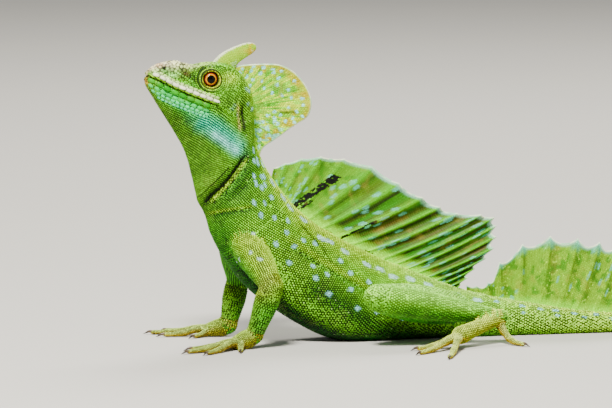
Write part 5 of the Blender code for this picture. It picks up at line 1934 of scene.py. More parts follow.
@dataclass
class Scales:
    """Scales set out on the skin, one row of numbers for each.

    Args:
        shape: The form they share.
        roots: Where each stands, in the straight animal.
        normals: Which way each faces.
        backs: The direction of each one's rear end.
        lengths: Their lengths.
        widths: Their widths.
        heights: How far they stand up.
        colours: Their colours.
        places: Where each root lies on the unwrap, from 0 to 1.
        sunk: How deep each stands in the skin.
        tilt: How far its rear end is lifted.
        patch: The size of its patch on the unwrap.
        most: How many one piece may hold.
        gap_tone: How bright its foot is, as a share of its top, as painted shade at the gaps between scales.
    """

    shape: ScaleShape
    roots: Array
    normals: Array
    backs: Array
    lengths: Array
    widths: Array
    heights: Array
    colours: Array
    places: Array
    sunk: float = 0.12
    tilt: float = 0.1
    patch: float = 0.003
    most: int = 9000
    gap_tone: float = 0.03

    def rows(self) -> dict[str, Array]:
        """The rows of numbers by name."""
        names = ("roots", "normals", "backs", "lengths", "widths", "heights", "colours", "places")
        return {name: getattr(self, name) for name in names}

    def kept(self, chosen: Array) -> "Scales":
        """Only the chosen ones."""
        return replace(self, **{name: row[chosen] for name, row in self.rows().items()})

    def with_(self, other: "Scales") -> "Scales":
        """These and others of the same shape."""
        theirs = other.rows()
        return replace(self, **{name: np.concatenate([row, theirs[name]]) for name, row in self.rows().items()})

    def mesh(self) -> bpy.types.Mesh:
        """All of them as one mesh in the frame of the solids, with colours and an unwrap."""
        points, faces = self.shape.template()
        count, corners = len(self.roots), len(points)
        up = unit(self.normals)
        back = unit(self.backs - (self.backs * up).sum(axis=1, keepdims=True) * up)
        back, up = unit(back + self.tilt * up), unit(up - self.tilt * back)
        aside = np.cross(up, back)
        local = np.array(points)
        lifted = (
            back[:, None, :] * (local[None, :, 0] * self.lengths[:, None])[..., None]
            + aside[:, None, :] * (local[None, :, 1] * self.widths[:, None])[..., None]
            + up[:, None, :] * (local[None, :, 2] * self.heights[:, None] - self.sunk)[..., None]
        )
        placed = (self.roots[:, None, :] + lifted).reshape(-1, 3)
        level = np.clip(local[:, 2], 0.0, 1.0)
        # Each scale darkens from its top to its foot: painted shade towards the gaps between scales.
        tones = self.colours[:, None, :] * (self.gap_tone + (1 - self.gap_tone) * level**0.8)[None, :, None]
        mesh = bpy.data.meshes.new("scales")
        mesh.vertices.add(count * corners)
        set_points(mesh, in_frame(placed))
        loops = np.array([index for face in faces for index in face])
        sizes = np.array([len(face) for face in faces])
        shift = (np.arange(count) * corners)[:, None]
        mesh.loops.add(count * len(loops))
        mesh.loops.foreach_set("vertex_index", (loops[None, :] + shift).ravel().astype(np.int32))
        mesh.polygons.add(count * len(faces))
        starts = np.concatenate(([0], np.cumsum(sizes)[:-1]))
        mesh.polygons.foreach_set(
            "loop_start", (starts[None, :] + (np.arange(count) * len(loops))[:, None]).ravel().astype(np.int32)
        )
        mesh.update(calc_edges=True)
        mesh.validate()
        set_paint(mesh, tones.reshape(-1, 3))
        unwrap = mesh.uv_layers.new(name="OFBake")
        spread = self.places[:, None, :] + self.patch * local[None, :, :2]
        unwrap.data.foreach_set("uv", spread[:, loops, :].reshape(-1).astype(np.float32))
        return mesh

    def dress(self, name: str, material: bpy.types.Material, slot: Slot) -> None:
        """Makes them pieces, each with few enough scales to export whole."""
        parts = max(1, math.ceil(len(self.roots) / self.most))
        for number in range(parts):
            chosen = np.arange(len(self.roots)) * parts // len(self.roots) == number
            label = name if parts == 1 else f"{name}_{number + 1}"
            make_piece(label, self.kept(chosen).mesh(), material, slot)


def banded(places: Array, band: int, bands: int) -> Array:
    """Places from 0 to 1 on one of several bands of an unwrap, with a margin."""
    placed = np.array(places)
    placed[:, 1] = (band + 0.06 + 0.88 * np.clip(placed[:, 1], 0, 1)) / bands
    placed[:, 0] = 0.02 + 0.96 * np.clip(placed[:, 0], 0, 1)
    return placed


@dataclass
class Coat:
    """All the scales of the skin.

    Args:
        skin: The skin they stand on.
        markings: Their colours.
        split: The angle from the back, in degrees, at which the scales of the belly begin.
        crowding: How near scales may be set out to others, in spacings.
        trials: How many places are tried for irregular scales.
        grown: How much larger irregular scales are than their spacing.
        random: The random numbers.
        taken: The places that hold scales already.
        groups: The scales and the slot of each piece.
    """

    skin: Skin
    markings: Markings
    split: float = 94.0
    crowding: float = 0.62
    trials: int = 320_000
    grown: float = 1.38
    random: np.random.Generator = field(default_factory=lambda: np.random.default_rng(COAT_SEED))
    taken: list[Array] = field(default_factory=list)
    groups: dict[str, tuple[Scales, Slot]] = field(default_factory=dict)

    def nearest_taken(self, points: Array) -> Array:
        """How far each point is from the scales that are already set out."""
        return nearest(tree_of(np.concatenate(self.taken)), points)

    def add(self, name: str, slot: Slot, scales: Scales) -> None:
        """Takes up scales under the name of a piece."""
        self.taken.append(scales.roots)
        if name in self.groups:
            scales = self.groups[name][0].with_(scales)
        self.groups[name] = (scales, slot)

    def opening(self, points: Array) -> Array:
        """Whether points lie in the opening of an eye or a nostril."""
        ring = np.hypot(points[:, 0] - EYE_PLACE[0], points[:, 2] - EYE_PLACE[2])
        hole = np.hypot(points[:, 0] - NOSTRIL_PLACE[0], points[:, 2] - NOSTRIL_PLACE[1])
        aside = np.abs(points[:, 1])
        return ((ring < LID_RING_RADIUS - 0.1) & (aside > 6.0)) | ((hole < 1.1) & (aside > 2.0))

    @staticmethod
    def off_floor(points: Array, normals: Array) -> Array:
        """Whether points lie where the skin does not rest on the floor."""
        return (points[:, 2] > 0.5) | (normals[:, 2] > -0.4)

    @staticmethod
    def on_head(points: Array) -> Array:
        """Whether points lie on the head."""
        return (points[:, 2] > 84.0) & (points[:, 0] < -25.0)

    def set_out(
        self,
        name: str,
        slot: Slot,
        shape: ScaleShape,
        surface: Surface,
        along: Array,
        around: Array,
        size: Array,
        stretch: tuple[float, float, float],
        places: Array,
        snap_within: float = 1.3,
        step: float = 0.01,
    ) -> None:
        """Sets scales out from places on a surface, where they meet the skin and nothing is in their way.

        Args:
            name: The piece that takes them up.
            slot: Its slot.
            shape: Their form.
            surface: Gives points for places along and around it.
            along: Their places along it.
            around: Their places around it.
            size: Their spacing.
            stretch: Their length, width and height in spacings.
            places: Their places on the unwrap.
            snap_within: How far from the skin they may be.
            step: How far ahead the direction of their rear ends is read.
        """
        backs = unit(surface(along + step, around) - surface(along - step, around))
        roots, normals, away = self.skin.snap(surface(along, around))
        free = (away < snap_within) & ~self.opening(roots) & self.off_floor(roots, normals)
        free &= self.nearest_taken(roots) > self.crowding * size
        roots, normals, backs, size, places = roots[free], normals[free], backs[free], size[free], places[free]
        scattered = self.random.random(len(roots))
        vary = 0.94 + 0.12 * self.random.random(len(roots))
        colours = self.markings.paint(roots, normals, scattered)
        scales = Scales(
            shape, roots, normals, backs, size * stretch[0] * vary, size * stretch[1] * vary, size * stretch[2],
            colours, places,
        )
        self.add(name, slot, scales)

    def lay_lips(self) -> None:
        """The labial scutes along the mouth and the shields below and above them."""
        # How far above the mouth each row runs, its scales' length, width and height, its start and its colour.
        rows = (
            (0.95, 3.2, 1.15, 0.5, 0.02, (0.34, 0.66, 0.03)),
            (2.05, 3.6, 1.7, 0.7, 0.06, (0.98, 1.0, 0.76)),
            (3.8, 2.3, 1.35, 0.45, 0.14, (0.46, 0.66, 0.24)),
            (-1.5, 4.2, 2.25, 0.6, 0.03, (0.025, 0.27, 0.015)),
            (-3.85, 3.3, 2.0, 0.6, 0.06, (0.07, 0.62, 0.16)),
            (-5.65, 2.6, 1.6, 0.55, 0.13, (0.10, 0.74, 0.30)),
            (-7.2, 2.0, 1.4, 0.45, 0.24, (0.12, 0.72, 0.36)),
        )
        curve = curve_through(MOUTH_LINE, np.linspace(0, len(MOUTH_LINE) - 1, 300))
        tangent = unit(np.gradient(curve, axis=0))
        across = np.stack([-tangent[:, 1], tangent[:, 0]], axis=1)
        for offset, length, width, height, start, tint in rows:
            level = curve + across * offset
            arc = run_along(level)
            end = arc[-1] * (0.985 if offset > 0 else 0.94)
            marks = np.arange(start * arc[-1] + length / 2, end, length * 0.98)
            count = len(marks)
            flat = np.stack([np.interp(marks, arc, level[:, i]) for i in (0, 1)], axis=1)
            ahead = np.stack([np.interp(marks, arc, tangent[:, i]) for i in (0, 1)], axis=1)
            backs = np.stack([ahead[:, 0], np.zeros(count), ahead[:, 1]], axis=1)
            taper = np.clip(0.75 + 0.5 * np.minimum(marks, arc[-1] - marks) / 8.0, 0.7, 1.0)
            places = np.stack([marks / arc[-1], np.full(count, (offset + 8) / 14)], axis=1)
            name, shape = ("coat_lips", SCUTE) if offset > -3.0 else ("coat_chin", SHIELD)
            for number, side in enumerate(Side):
                roots, normals = self.skin.beside(flat, side)
                shade = 0.74 + 0.42 * self.random.random(count)
                colours = mixed(np.broadcast_to(tint, (count, 3)), self.markings.paint(roots, normals), 0.15)
                scales = Scales(
                    shape, roots, normals, backs, length * 1.04 * np.ones(count), width * 1.08 * taper,
                    np.full(count, height), colours * shade[:, None], banded(places, number, 2), 0.18, 0.02,
                )
                self.add(name, Slot.JAW, scales)
                self.taken.extend(roots + backs * share * length for share in (-0.3, 0.3))

    def lay_lids(self) -> None:
        """Rings of small granules on the lids and round them."""
        rings = ((3.85, 0.66), (4.45, 0.72), (5.1, 0.8), (5.8, 0.85), (6.6, 0.95), (7.55, 1.05), (8.6, 1.1))
        for (number, side), (ring, pitch) in product(enumerate(Side), rings):
            count = round(FULL_TURN * ring / pitch)
            angle = (np.arange(count) + 0.5 * number) * FULL_TURN / count
            flat = np.stack(
                [EYE_PLACE[0] + ring * np.cos(angle), EYE_PLACE[2] + 0.93 * ring * np.sin(angle)], axis=1
            )
            flat = flat[flat[:, 1] < 138.3]
            angle = np.arctan2(flat[:, 1] - EYE_PLACE[2], flat[:, 0] - EYE_PLACE[0])
            roots, normals = self.skin.beside(flat, side)
            free = self.nearest_taken(roots) > 0.55 * pitch
            roots, normals, angle = roots[free], normals[free], angle[free]
            backs = np.stack([-np.sin(angle), np.zeros(len(angle)), np.cos(angle)], axis=1)
            colours = self.markings.paint(roots, normals, self.random.random(len(roots)))
            size = np.full(len(roots), pitch)
            places = np.stack([(angle + math.pi) / FULL_TURN, np.full(len(roots), ring / 9)], axis=1)
            scales = Scales(
                BEAD, roots, normals, backs, size * 1.15, size * 1.1, size * 0.4, colours,
                banded(places, number, 2), 0.1, 0.0,
            )
            self.add("coat_lids", Slot.LEAF, scales)

    def lay_trunk(self) -> None:
        """Staggered rows from the cheeks to the tip of the tail."""
        trunk, last = self.skin.chart.trunk, len(STATIONS) - 1
        split, rows = math.radians(self.split), []
        for span, turn, pitch, closed in (
            ((1.6, 12.8), (-math.pi, math.pi), None, True),
            ((12.8, 19.4), (-split, split), 1.2, False),
            ((12.8, 19.4), (split, FULL_TURN - split), 1.46, False),
            ((19.4, last - 0.3), (-math.pi, math.pi), None, True),
        ):
            spacing = trunk.pitch if pitch is None else lambda _, pitch=pitch: pitch
            along, around = lattice(trunk.surface, span, turn, spacing, closed)
            rows.append((along, around, np.array([spacing(place) for place in along])))
        along, around, size = (np.concatenate(row) for row in zip(*rows))
        around = half_turned(around)
        points = trunk.surface(along, around)
        crown = (along < 6.6) & (np.abs(around) < 1.0)
        snout = (along < 4.4) & (points[:, 2] > 126.5 - 0.42 * (points[:, 0] + 68.6))
        near_eye = np.hypot(points[:, 0] - EYE_PLACE[0], points[:, 2] - EYE_PLACE[2]) < 9.1
        wanted = ~(crown | snout | (near_eye & (np.abs(points[:, 1]) > 3.0)))
        along, around, size = along[wanted], around[wanted], size[wanted]
        cuts = ((0.0, 9.5, "coat_head", Slot.THROAT), (9.5, 13.0, "coat_neck", Slot.THROAT),
                (13.0, 16.0, "coat_ribs", Slot.FLANK), (16.0, 20.0, "coat_loin", Slot.FLANK),
                (20.0, 24.0, "coat_tail", Slot.LEAF), (24.0, 29.0, "coat_tail_end", Slot.LEAF))
        for start, end, name, slot in cuts:
            here = (along >= start) & (along < end)
            places = np.stack([(along[here] - start) / (end - start), around[here] / FULL_TURN + 0.5], axis=1)
            stretch = (1.05, 0.92, 0.4) if name == "coat_head" else (0.88, 0.78, 0.48)
            self.set_out(
                name, slot, BODY_SCALE, trunk.surface, along[here], around[here], size[here], stretch,
                banded(places, 0, 1),
            )

    def lay_limbs(self) -> None:
        """Rows round every length of limb and every digit."""
        limbs = {"upper_arm": "arm", "forearm": "arm", "hand": "hand", "finger": "hand",
                 "thigh": "leg", "shank": "leg", "foot": "foot", "toe": "foot"}
        groups: dict[str, list[Tube]] = {}
        for tube in self.skin.chart.tubes:
            part, word = tube.name.rstrip("_0123456789").rsplit("_", 1)
            groups.setdefault(f"coat_{limbs[part]}_{word}", []).append(tube)
        for name, tubes in groups.items():
            slot = Slot.LIMB if "arm" in name or "leg" in name else Slot.TOE
            for band, tube in enumerate(tubes):
                along, around = lattice(tube.surface, (0.1, 0.9), (-math.pi, math.pi), lambda _, t=tube: t.pitch)
                size = np.full(len(along), tube.pitch)
                places = np.stack([along, around / FULL_TURN + 0.5], axis=1)
                self.set_out(
                    name, slot, BODY_SCALE, tube.surface, along, around, size, (1.02, 0.88, 0.42),
                    banded(places, band, len(tubes)), 1.0,
                )

    def fill(self) -> None:
        """Irregular plates on the crown and the snout, and small scales wherever the skin is still bare."""
        points, normals = self.skin.scatter(self.trials, self.random)
        keep = ~self.opening(points) & self.off_floor(points, normals)
        points, normals = points[keep], normals[keep]
        wanted = self.wanted_pitch(points)
        away = self.nearest_taken(points)
        keep = away > 0.7 * wanted
        points, normals, wanted, away = points[keep], normals[keep], wanted[keep], away[keep]
        chosen = thinned(points, 0.84 * wanted)
        points, normals = points[chosen], normals[chosen]
        size = np.minimum(wanted[chosen], 1.25 * away[chosen])
        head = self.on_head(points)
        backs = np.broadcast_to(np.array((0.9, 0.0, -0.35)), points.shape)
        for name, slot, shape, here, height in (
            ("coat_crown", Slot.LEAF, PLATE, head, 0.3),
            ("coat_joints", Slot.LIMB, BEAD, ~head, 0.36),
        ):
            part, along, around = self.skin.chart.locate(points[here])
            if name == "coat_crown":
                placed = banded(np.stack([along / 10, around / FULL_TURN + 0.5], axis=1), 0, 1)
            else:
                share = np.where(part == 0, along / len(STATIONS), along)
                band = (part + 0.06 + 0.88 * (around / FULL_TURN + 0.5)) / (len(self.skin.chart.tubes) + 1)
                placed = np.stack([0.02 + 0.96 * share, band], axis=1)
            colours = self.markings.paint(points[here], normals[here], self.random.random(here.sum()))
            across = size[here] * self.grown
            scales = Scales(
                shape, points[here], normals[here], backs[here], across, across, size[here] * height,
                colours, placed, 0.12, 0.0,
            )
            self.add(name, slot, scales)

    @staticmethod
    def wanted_pitch(points: Array) -> Array:
        """The spacing of the irregular scales over the skin."""
        x, y, z = points[:, 0], np.abs(points[:, 1]), points[:, 2]
        head = Coat.on_head(points)
        pitch = np.full(len(points), 1.05)
        for here, spacing in (
            (head, 1.0),
            (head & (x < -58.0) & (z > 124.0), 1.12),
            (head & (z > 136.5) & (x < -38.0), 1.55),
            ((x > 22.0) & (y > 17.0) & (z > 7.0), 1.15),
            ((z < 7.0) & (y > 20.0), 0.9),
        ):
            pitch[here] = spacing
        return pitch

    def build(self) -> None:
        """Sets out every scale of the skin and makes them pieces."""
        self.lay_lips()
        self.lay_lids()
        self.lay_trunk()
        self.lay_limbs()
        self.fill()
        for name, (scales, slot) in self.groups.items():
            plates = name in ("coat_lips", "coat_chin", "coat_crown", "coat_lids")
            scales.dress(name, (PLATE_FINISH if plates else SCALE_FINISH).material(), slot)


# Crests and sails


@dataclass
class Sheet:
    """A thin upright sheet of hide with scales on both of its faces.

    Args:
        name: The piece's name.
        slot: Its slot.
        nodes: The solids that it stands for.
        finish: Its finish.
        columns: Faces along it.
        rows: Faces out from its root.
        pitch: The spacing of its scales.
        lines: How many rows of scales run outwards.
        bead: The radius of the bead along its edge.
        scale_start: Where the rows start.
        tone: How bright the bare sheet is under its scales.
        random: The random numbers.
    """

    name: str
    slot: Slot
    nodes: tuple[str, ...]
    finish: HideFinish
    columns: int
    rows: int
    pitch: float
    lines: int
    bead: float = 0.32
    scale_start: float = 0.06
    tone: float = 0.75
    random: np.random.Generator = field(default_factory=lambda: np.random.default_rng(SHEET_SEED))

    def middle(self, share: Array, out: Array) -> Array:
        """The middle of the sheet, for shares along it and out from its root."""
        raise NotImplementedError

    def half(self, share: Array, out: Array) -> Array:
        """Half its thickness."""
        raise NotImplementedError

    def paint(self, share: Array, out: Array, points: Array, scattered: Array | None = None) -> Array:
        """Its colours.

        Args:
            share: Places along it.
            out: Places out from its root.
            points: The same places as rows of x, y, z.
            scattered: A random value for each scale, or None on the bare sheet.

        Returns:
            Rows of linear red, green and blue.
        """
        raise NotImplementedError

    def face(self, share: Array, out: Array, side: Side) -> Array:
        """The surface of one of its faces."""
        points = self.middle(share, out)
        points[:, 1] += side.value * self.half(share, out)
        return points

    def membrane(self) -> bpy.types.Mesh:
        """The sheet as one closed mesh, with the same triangles on both faces."""
        shape = bmesh.new()
        bmesh.ops.create_grid(shape, x_segments=self.columns, y_segments=self.rows, size=0.5)
        bmesh.ops.triangulate(shape, faces=shape.faces, quad_method="FIXED")
        grown = bmesh.ops.extrude_face_region(shape, geom=shape.faces[:])
        far = {item for item in grown["geom"] if isinstance(item, bmesh.types.BMVert)}
        share, out = (np.array([vert.co[:2] for vert in shape.verts]) + 0.5).T
        sign = np.array([1.0 if vert in far else -1.0 for vert in shape.verts])
        points = self.middle(share, out)
        points[:, 1] += sign * self.half(share, out)
        for vert, point in zip(shape.verts, points):
            vert.co = point
        mesh = mesh_of(self.name, face_outward(shape))
        set_paint(mesh, self.paint(share, out, points) * self.tone)
        set_points(mesh, in_frame(points))
        return mesh

    def scale_places(self) -> tuple[Array, Array]:
        """Rows of scales that run outwards, as shares along the sheet and out."""
        shares, outs = [], []
        for row, share in enumerate(np.linspace(0.004, 0.996, self.lines)):
            out = np.linspace(self.scale_start, 0.985, 200)
            arc = run_along(self.middle(np.full(200, share), out))
            marks = np.arange(0.5 * (row % 2) * self.pitch, arc[-1] - 0.6 * self.pitch, self.pitch * 1.15)
            outs.append(np.interp(marks, arc, out))
            shares.append(np.full(len(marks), share))
        return np.concatenate(shares), np.concatenate(outs)

    def scales(self) -> Scales:
        """The scales on both faces."""
        share, out = self.scale_places()
        faces = []
        for number, side in enumerate(Side):
            roots = self.face(share, out, side)
            ahead = self.face(share, out + 0.01, side) - roots
            along = self.face(share + 0.002, out, side) - roots
            normals = unit(np.cross(ahead, along))
            normals = normals * np.sign(normals[:, 1] * side.value)[:, None]
            scattered = self.random.random(len(roots))
            colours = self.paint(share, out, roots, scattered)
            size = np.full(len(roots), self.pitch) * (0.92 + 0.16 * self.random.random(len(roots)))
            made = Scales(
                BODY_SCALE, roots, normals, unit(ahead), size * 1.25, size * 0.88, size * 0.26, colours,
                banded(np.stack([share, out], axis=1), number, 2), 0.08, 0.04, gap_tone=0.35,
            )
            faces.append(made.kept(thinned(roots, np.full(len(roots), 0.62 * self.pitch))))
        return faces[0].with_(faces[1])

    def rim(self) -> bpy.types.Mesh | None:
        """The pale bead along its edge, pale partly as painted highlight."""
        share = np.linspace(0.0, 1.0, self.columns * 2 + 1)
        edge = self.middle(share, np.ones_like(share))
        bead = np.full(len(share), self.bead)
        tube = Tube("rim", edge, bead, bead, (0.0, 1.0, 0.0), depth=0.0)
        mesh = mesh_of("rim", tube.shape(self.columns * 3, 8))
        points = points_of(mesh)
        cover = smooth_step(soft_noise(points, 2.5, Pattern.RIM_SHADES), 0.45, 0.7)
        # Pale bead: partly its own pale edge, partly painted highlight.
        set_paint(mesh, mixed(plain((0.74, 0.86, 0.62), points), (0.30, 0.66, 0.40), cover))
        set_points(mesh, in_frame(points))
        return mesh

    def build(self) -> None:
        """Makes the sheet, its scales and its rim."""
        make_piece(self.name, self.membrane(), self.finish.material(), self.slot, self.nodes)
        self.scales().dress(f"{self.name}_scales", self.finish.material(), self.slot)
        rim = self.rim()
        if rim is not None:
            make_piece(f"{self.name}_rim", rim, self.finish.material(), self.slot)


@dataclass
class Sail(Sheet):
    """A sail on the back or the tail, spread on rays and pleated between them.

    Args:
        trunk: The trunk it stands on.
        rays: Where each ray leaves the back, its length and how steeply it rises.
        scallops: How deep its edge dips between two rays, at its front and its rear.
        pleat_wave: How many rays one broad bend takes in.
        pleat_swing: How far a broad bend swings to each side.
        fold_swing: How far the fold between two rays swings to each side.
        folded_from: The ray from which it is fully folded.
        ground: The colour of its folded part.
        ray_green: The colour of its rays.
        root_green: The colour along its root.
        shadow: The colour in its folds.
        open_ground: The colour of its open part.
        gap: The distance between two rays, in millimetres, for the size of its marks.
        span: Its height, in millimetres, for the size of its marks.
        dashes: How many pale dashes it has.
        net: How strongly the net of its scale rows shows.
        strings: Strings of black scales: ray and place out at both ends, half width and share of scales.
    """

    trunk: Trunk = field(default_factory=Trunk)
    rays: tuple[Point, ...] = SAIL_RAYS
    scallops: tuple[float, float] = (0.8, 3.2)
    pleat_wave: float = 3.7
    pleat_swing: float = 1.3
    fold_swing: float = 0.75
    folded_from: float = 6.0
    ground: Colour = (0.035, 0.18, 0.0)
    ray_green: Colour = (0.16, 0.56, 0.0)
    root_green: Colour = (0.40, 0.92, 0.0)
    shadow: Colour = (0.012, 0.022, 0.0)
    open_ground: Colour = (0.15, 0.38, 0.0)
    gap: float = 6.5
    span: float = 45.0
    dashes: int = 130
    net: float = 0.0
    strings: tuple[tuple[float, float, float, float, float, float], ...] = (
        (3.42, 0.07, 4.27, 0.75, 0.24, 0.7), (3.85, 0.06, 4.12, 0.28, 0.13, 0.65),
        (7.12, 0.06, 6.99, 0.47, 0.08, 0.75), (5.9, 0.0, 7.4, 0.03, 0.3, 0.4), (8.5, 0.0, 9.3, 0.04, 0.3, 0.4),
    )

    def read(self, share: Array) -> tuple[Array, Array, Array, Array]:
        """The ray's number, foot, length and slope at each share along the sail."""
        number = share * (len(self.rays) - 1)
        x, length, slope = curve_through(self.rays, number).T
        return number, x, length, np.radians(slope)

    def folded(self, number: Array) -> Array:
        """How folded it is at each ray's number."""
        return smooth_step(number, self.folded_from - 2.0, self.folded_from + 1.0)

    def middle(self, share: Array, out: Array) -> Array:
        """The middle of the sail."""
        number, x, length, slope = self.read(share)
        depth = self.scallops[0] + (self.scallops[1] - self.scallops[0]) * number / (len(self.rays) - 1)
        dip = np.minimum(depth, 0.35 * length) * np.abs(np.sin(math.pi * number)) ** 0.8
        reach = -SAIL_ROOT_DEPTH + (length - dip + SAIL_ROOT_DEPTH) * out
        sag = (1 - out) * out * 0.08 * length
        swing = self.pleat_swing * out * np.sin(FULL_TURN * number / self.pleat_wave)
        fold = -self.fold_swing * smooth_step(out, 0.05, 0.5) * np.cos(FULL_TURN * number)
        fold = fold * (0.35 + 0.65 * self.folded(number))
        return np.stack(
            [
                x + reach * np.cos(slope) + sag * np.sin(slope),
                swing + fold,
                self.trunk.back_height(x) + reach * np.sin(slope) - sag * np.cos(slope),
            ],
            axis=-1,
        )

    def half(self, share: Array, out: Array) -> Array:
        """Half its thickness, which is greatest over the rays."""
        number = self.read(share)[0]
        from_ray = np.abs(number - np.rint(number))
        ridge = 0.5 * np.exp(-((from_ray / 0.1) ** 2)) * (1 - 0.55 * out)
        return 0.24 + 0.7 * np.clip(1 - out, 0, 1) ** 3 + ridge

    def dashed(self, number: Array, out: Array) -> Array:
        """How much the pale dashes cover, which lie along the rays at random."""
        random = np.random.default_rng(DASH_SEED)
        middles = random.random((self.dashes, 2)) * (len(self.rays) - 1, 0.84) + (0.0, 0.1)
        beside = np.rint(middles[:, 0]) + random.normal(0.0, 0.16, self.dashes)
        middles[:, 0] = np.where(random.random(self.dashes) < 0.7, beside, middles[:, 0])
        scale = np.array((self.gap / 0.62, self.span / 2.1))
        placed = np.stack([number, out], axis=1) * scale
        level = ((0, 0), (0, 1))
        away = nearest(tree_of(np.pad(middles * scale, level)), np.pad(placed, level))
        return 1 - smooth_step(away + 0.5 * (soft_noise(placed, 0.6, Pattern.DASH_EDGES) - 0.5), 0.75, 1.15)

    def blotted(self, number: Array, out: Array) -> Array:
        """How much the strings of black scales cover."""
        cover = np.zeros(len(number))
        spread = np.stack([number * self.gap, out * self.span], axis=1)
        lot = soft_noise(spread, (0.9, 1.5), Pattern.BLACK_SCALES)
        for first, start, last, end, width, share in self.strings:
            part = np.clip((out - start) / max(end - start, 0.05), 0.0, 1.0)
            if end - start < 0.05:
                part = np.clip((number - first) / (last - first), 0.0, 1.0)
            aside = np.abs(number - (first + (last - first) * part)) / width
            past = np.maximum(np.maximum(start - out, out - max(end, start + 0.05)), 0.0) / 0.02
            cover = np.maximum(cover, (aside + past < 1.0) * (lot < share))
        return cover

    def paint(self, share: Array, out: Array, points: Array, scattered: Array | None = None) -> Array:
        """Green rays over olive folds, with pale dashes, strings of black scales and a pale edge, whose white
        line is partly painted highlight.
        """
        number = self.read(share)[0]
        aside = number - np.rint(number)
        folded = self.folded(number)
        flat = np.stack([number, out], axis=1)
        streak = soft_noise(flat, (0.2, 0.45), Pattern.RAY_STREAKS)
        blotch = soft_noise(flat, (0.7, 0.22), Pattern.SAIL_BLOTCHES)
        shade = soft_noise(points, 2.6, Pattern.SAIL_SHADES)
        rib = np.exp(-(((aside + 0.03) / 0.15) ** 2))
        valley = np.exp(-(((aside - 0.27) / 0.11) ** 2)) * smooth_step(out, 0.08, 0.25)
        colour = layered(
            plain(self.ground, points),
            (self.open_ground, 1 - folded),
            ((0.05, 0.22, 0.0), 0.8 * (1 - folded) * smooth_step(shade, 0.5, 0.75)),
            ((0.05, 0.075, 0.0), folded * smooth_step(streak, 0.25, 0.6) * 0.9),
            ((0.11, 0.05, 0.0), 0.4 * smooth_step(blotch, 0.6, 0.78) * folded),
            (self.ray_green, rib * (0.7 + 0.3 * streak) * (0.45 + 0.55 * folded)),
            (self.shadow, valley * (0.35 + 0.6 * folded) * smooth_step(streak, 0.1, 0.5)),
            (self.root_green, 1 - smooth_step(out, 0.05, 0.24)),
            ((0.20, 0.66, 0.50), 0.65 * self.dashed(number, out)),
        )
        if self.net:
            wave = out * 11 + 0.4 * np.sin(number * 4.3) + 0.5 * np.sin(number * 11.0)
            lines = (np.abs(np.sin(math.pi * wave)) < 0.2) & (streak > 0.4)
            down = np.exp(-(((aside - 0.1) / 0.07) ** 2)) * smooth_step(out, 0.2, 0.75)
            tip = np.exp(-((aside / 0.2) ** 2)) * smooth_step(out, 0.8, 0.97)
            colour = layered(
                colour,
                ((0.46, 0.76, 0.14), self.net * lines * smooth_step(out, 0.12, 0.2)),
                ((0.05, 0.13, 0.008), 0.85 * down),
                ((0.16, 0.60, 0.42), 0.8 * tip),
            )
        colour = layered(
            colour,
            ((0.003, 0.004, 0.002), self.blotted(number, out)),
            # A pale turquoise band and a white line along the edge, the white line partly painted highlight.
            ((0.40, 0.80, 0.62), smooth_step(out, 0.94, 0.98) * 0.6),
            ((0.90, 0.96, 0.86), smooth_step(out, 0.98, 1.0) * 0.85),
        )
        return varied(colour, scattered, 0.72, 0.5)


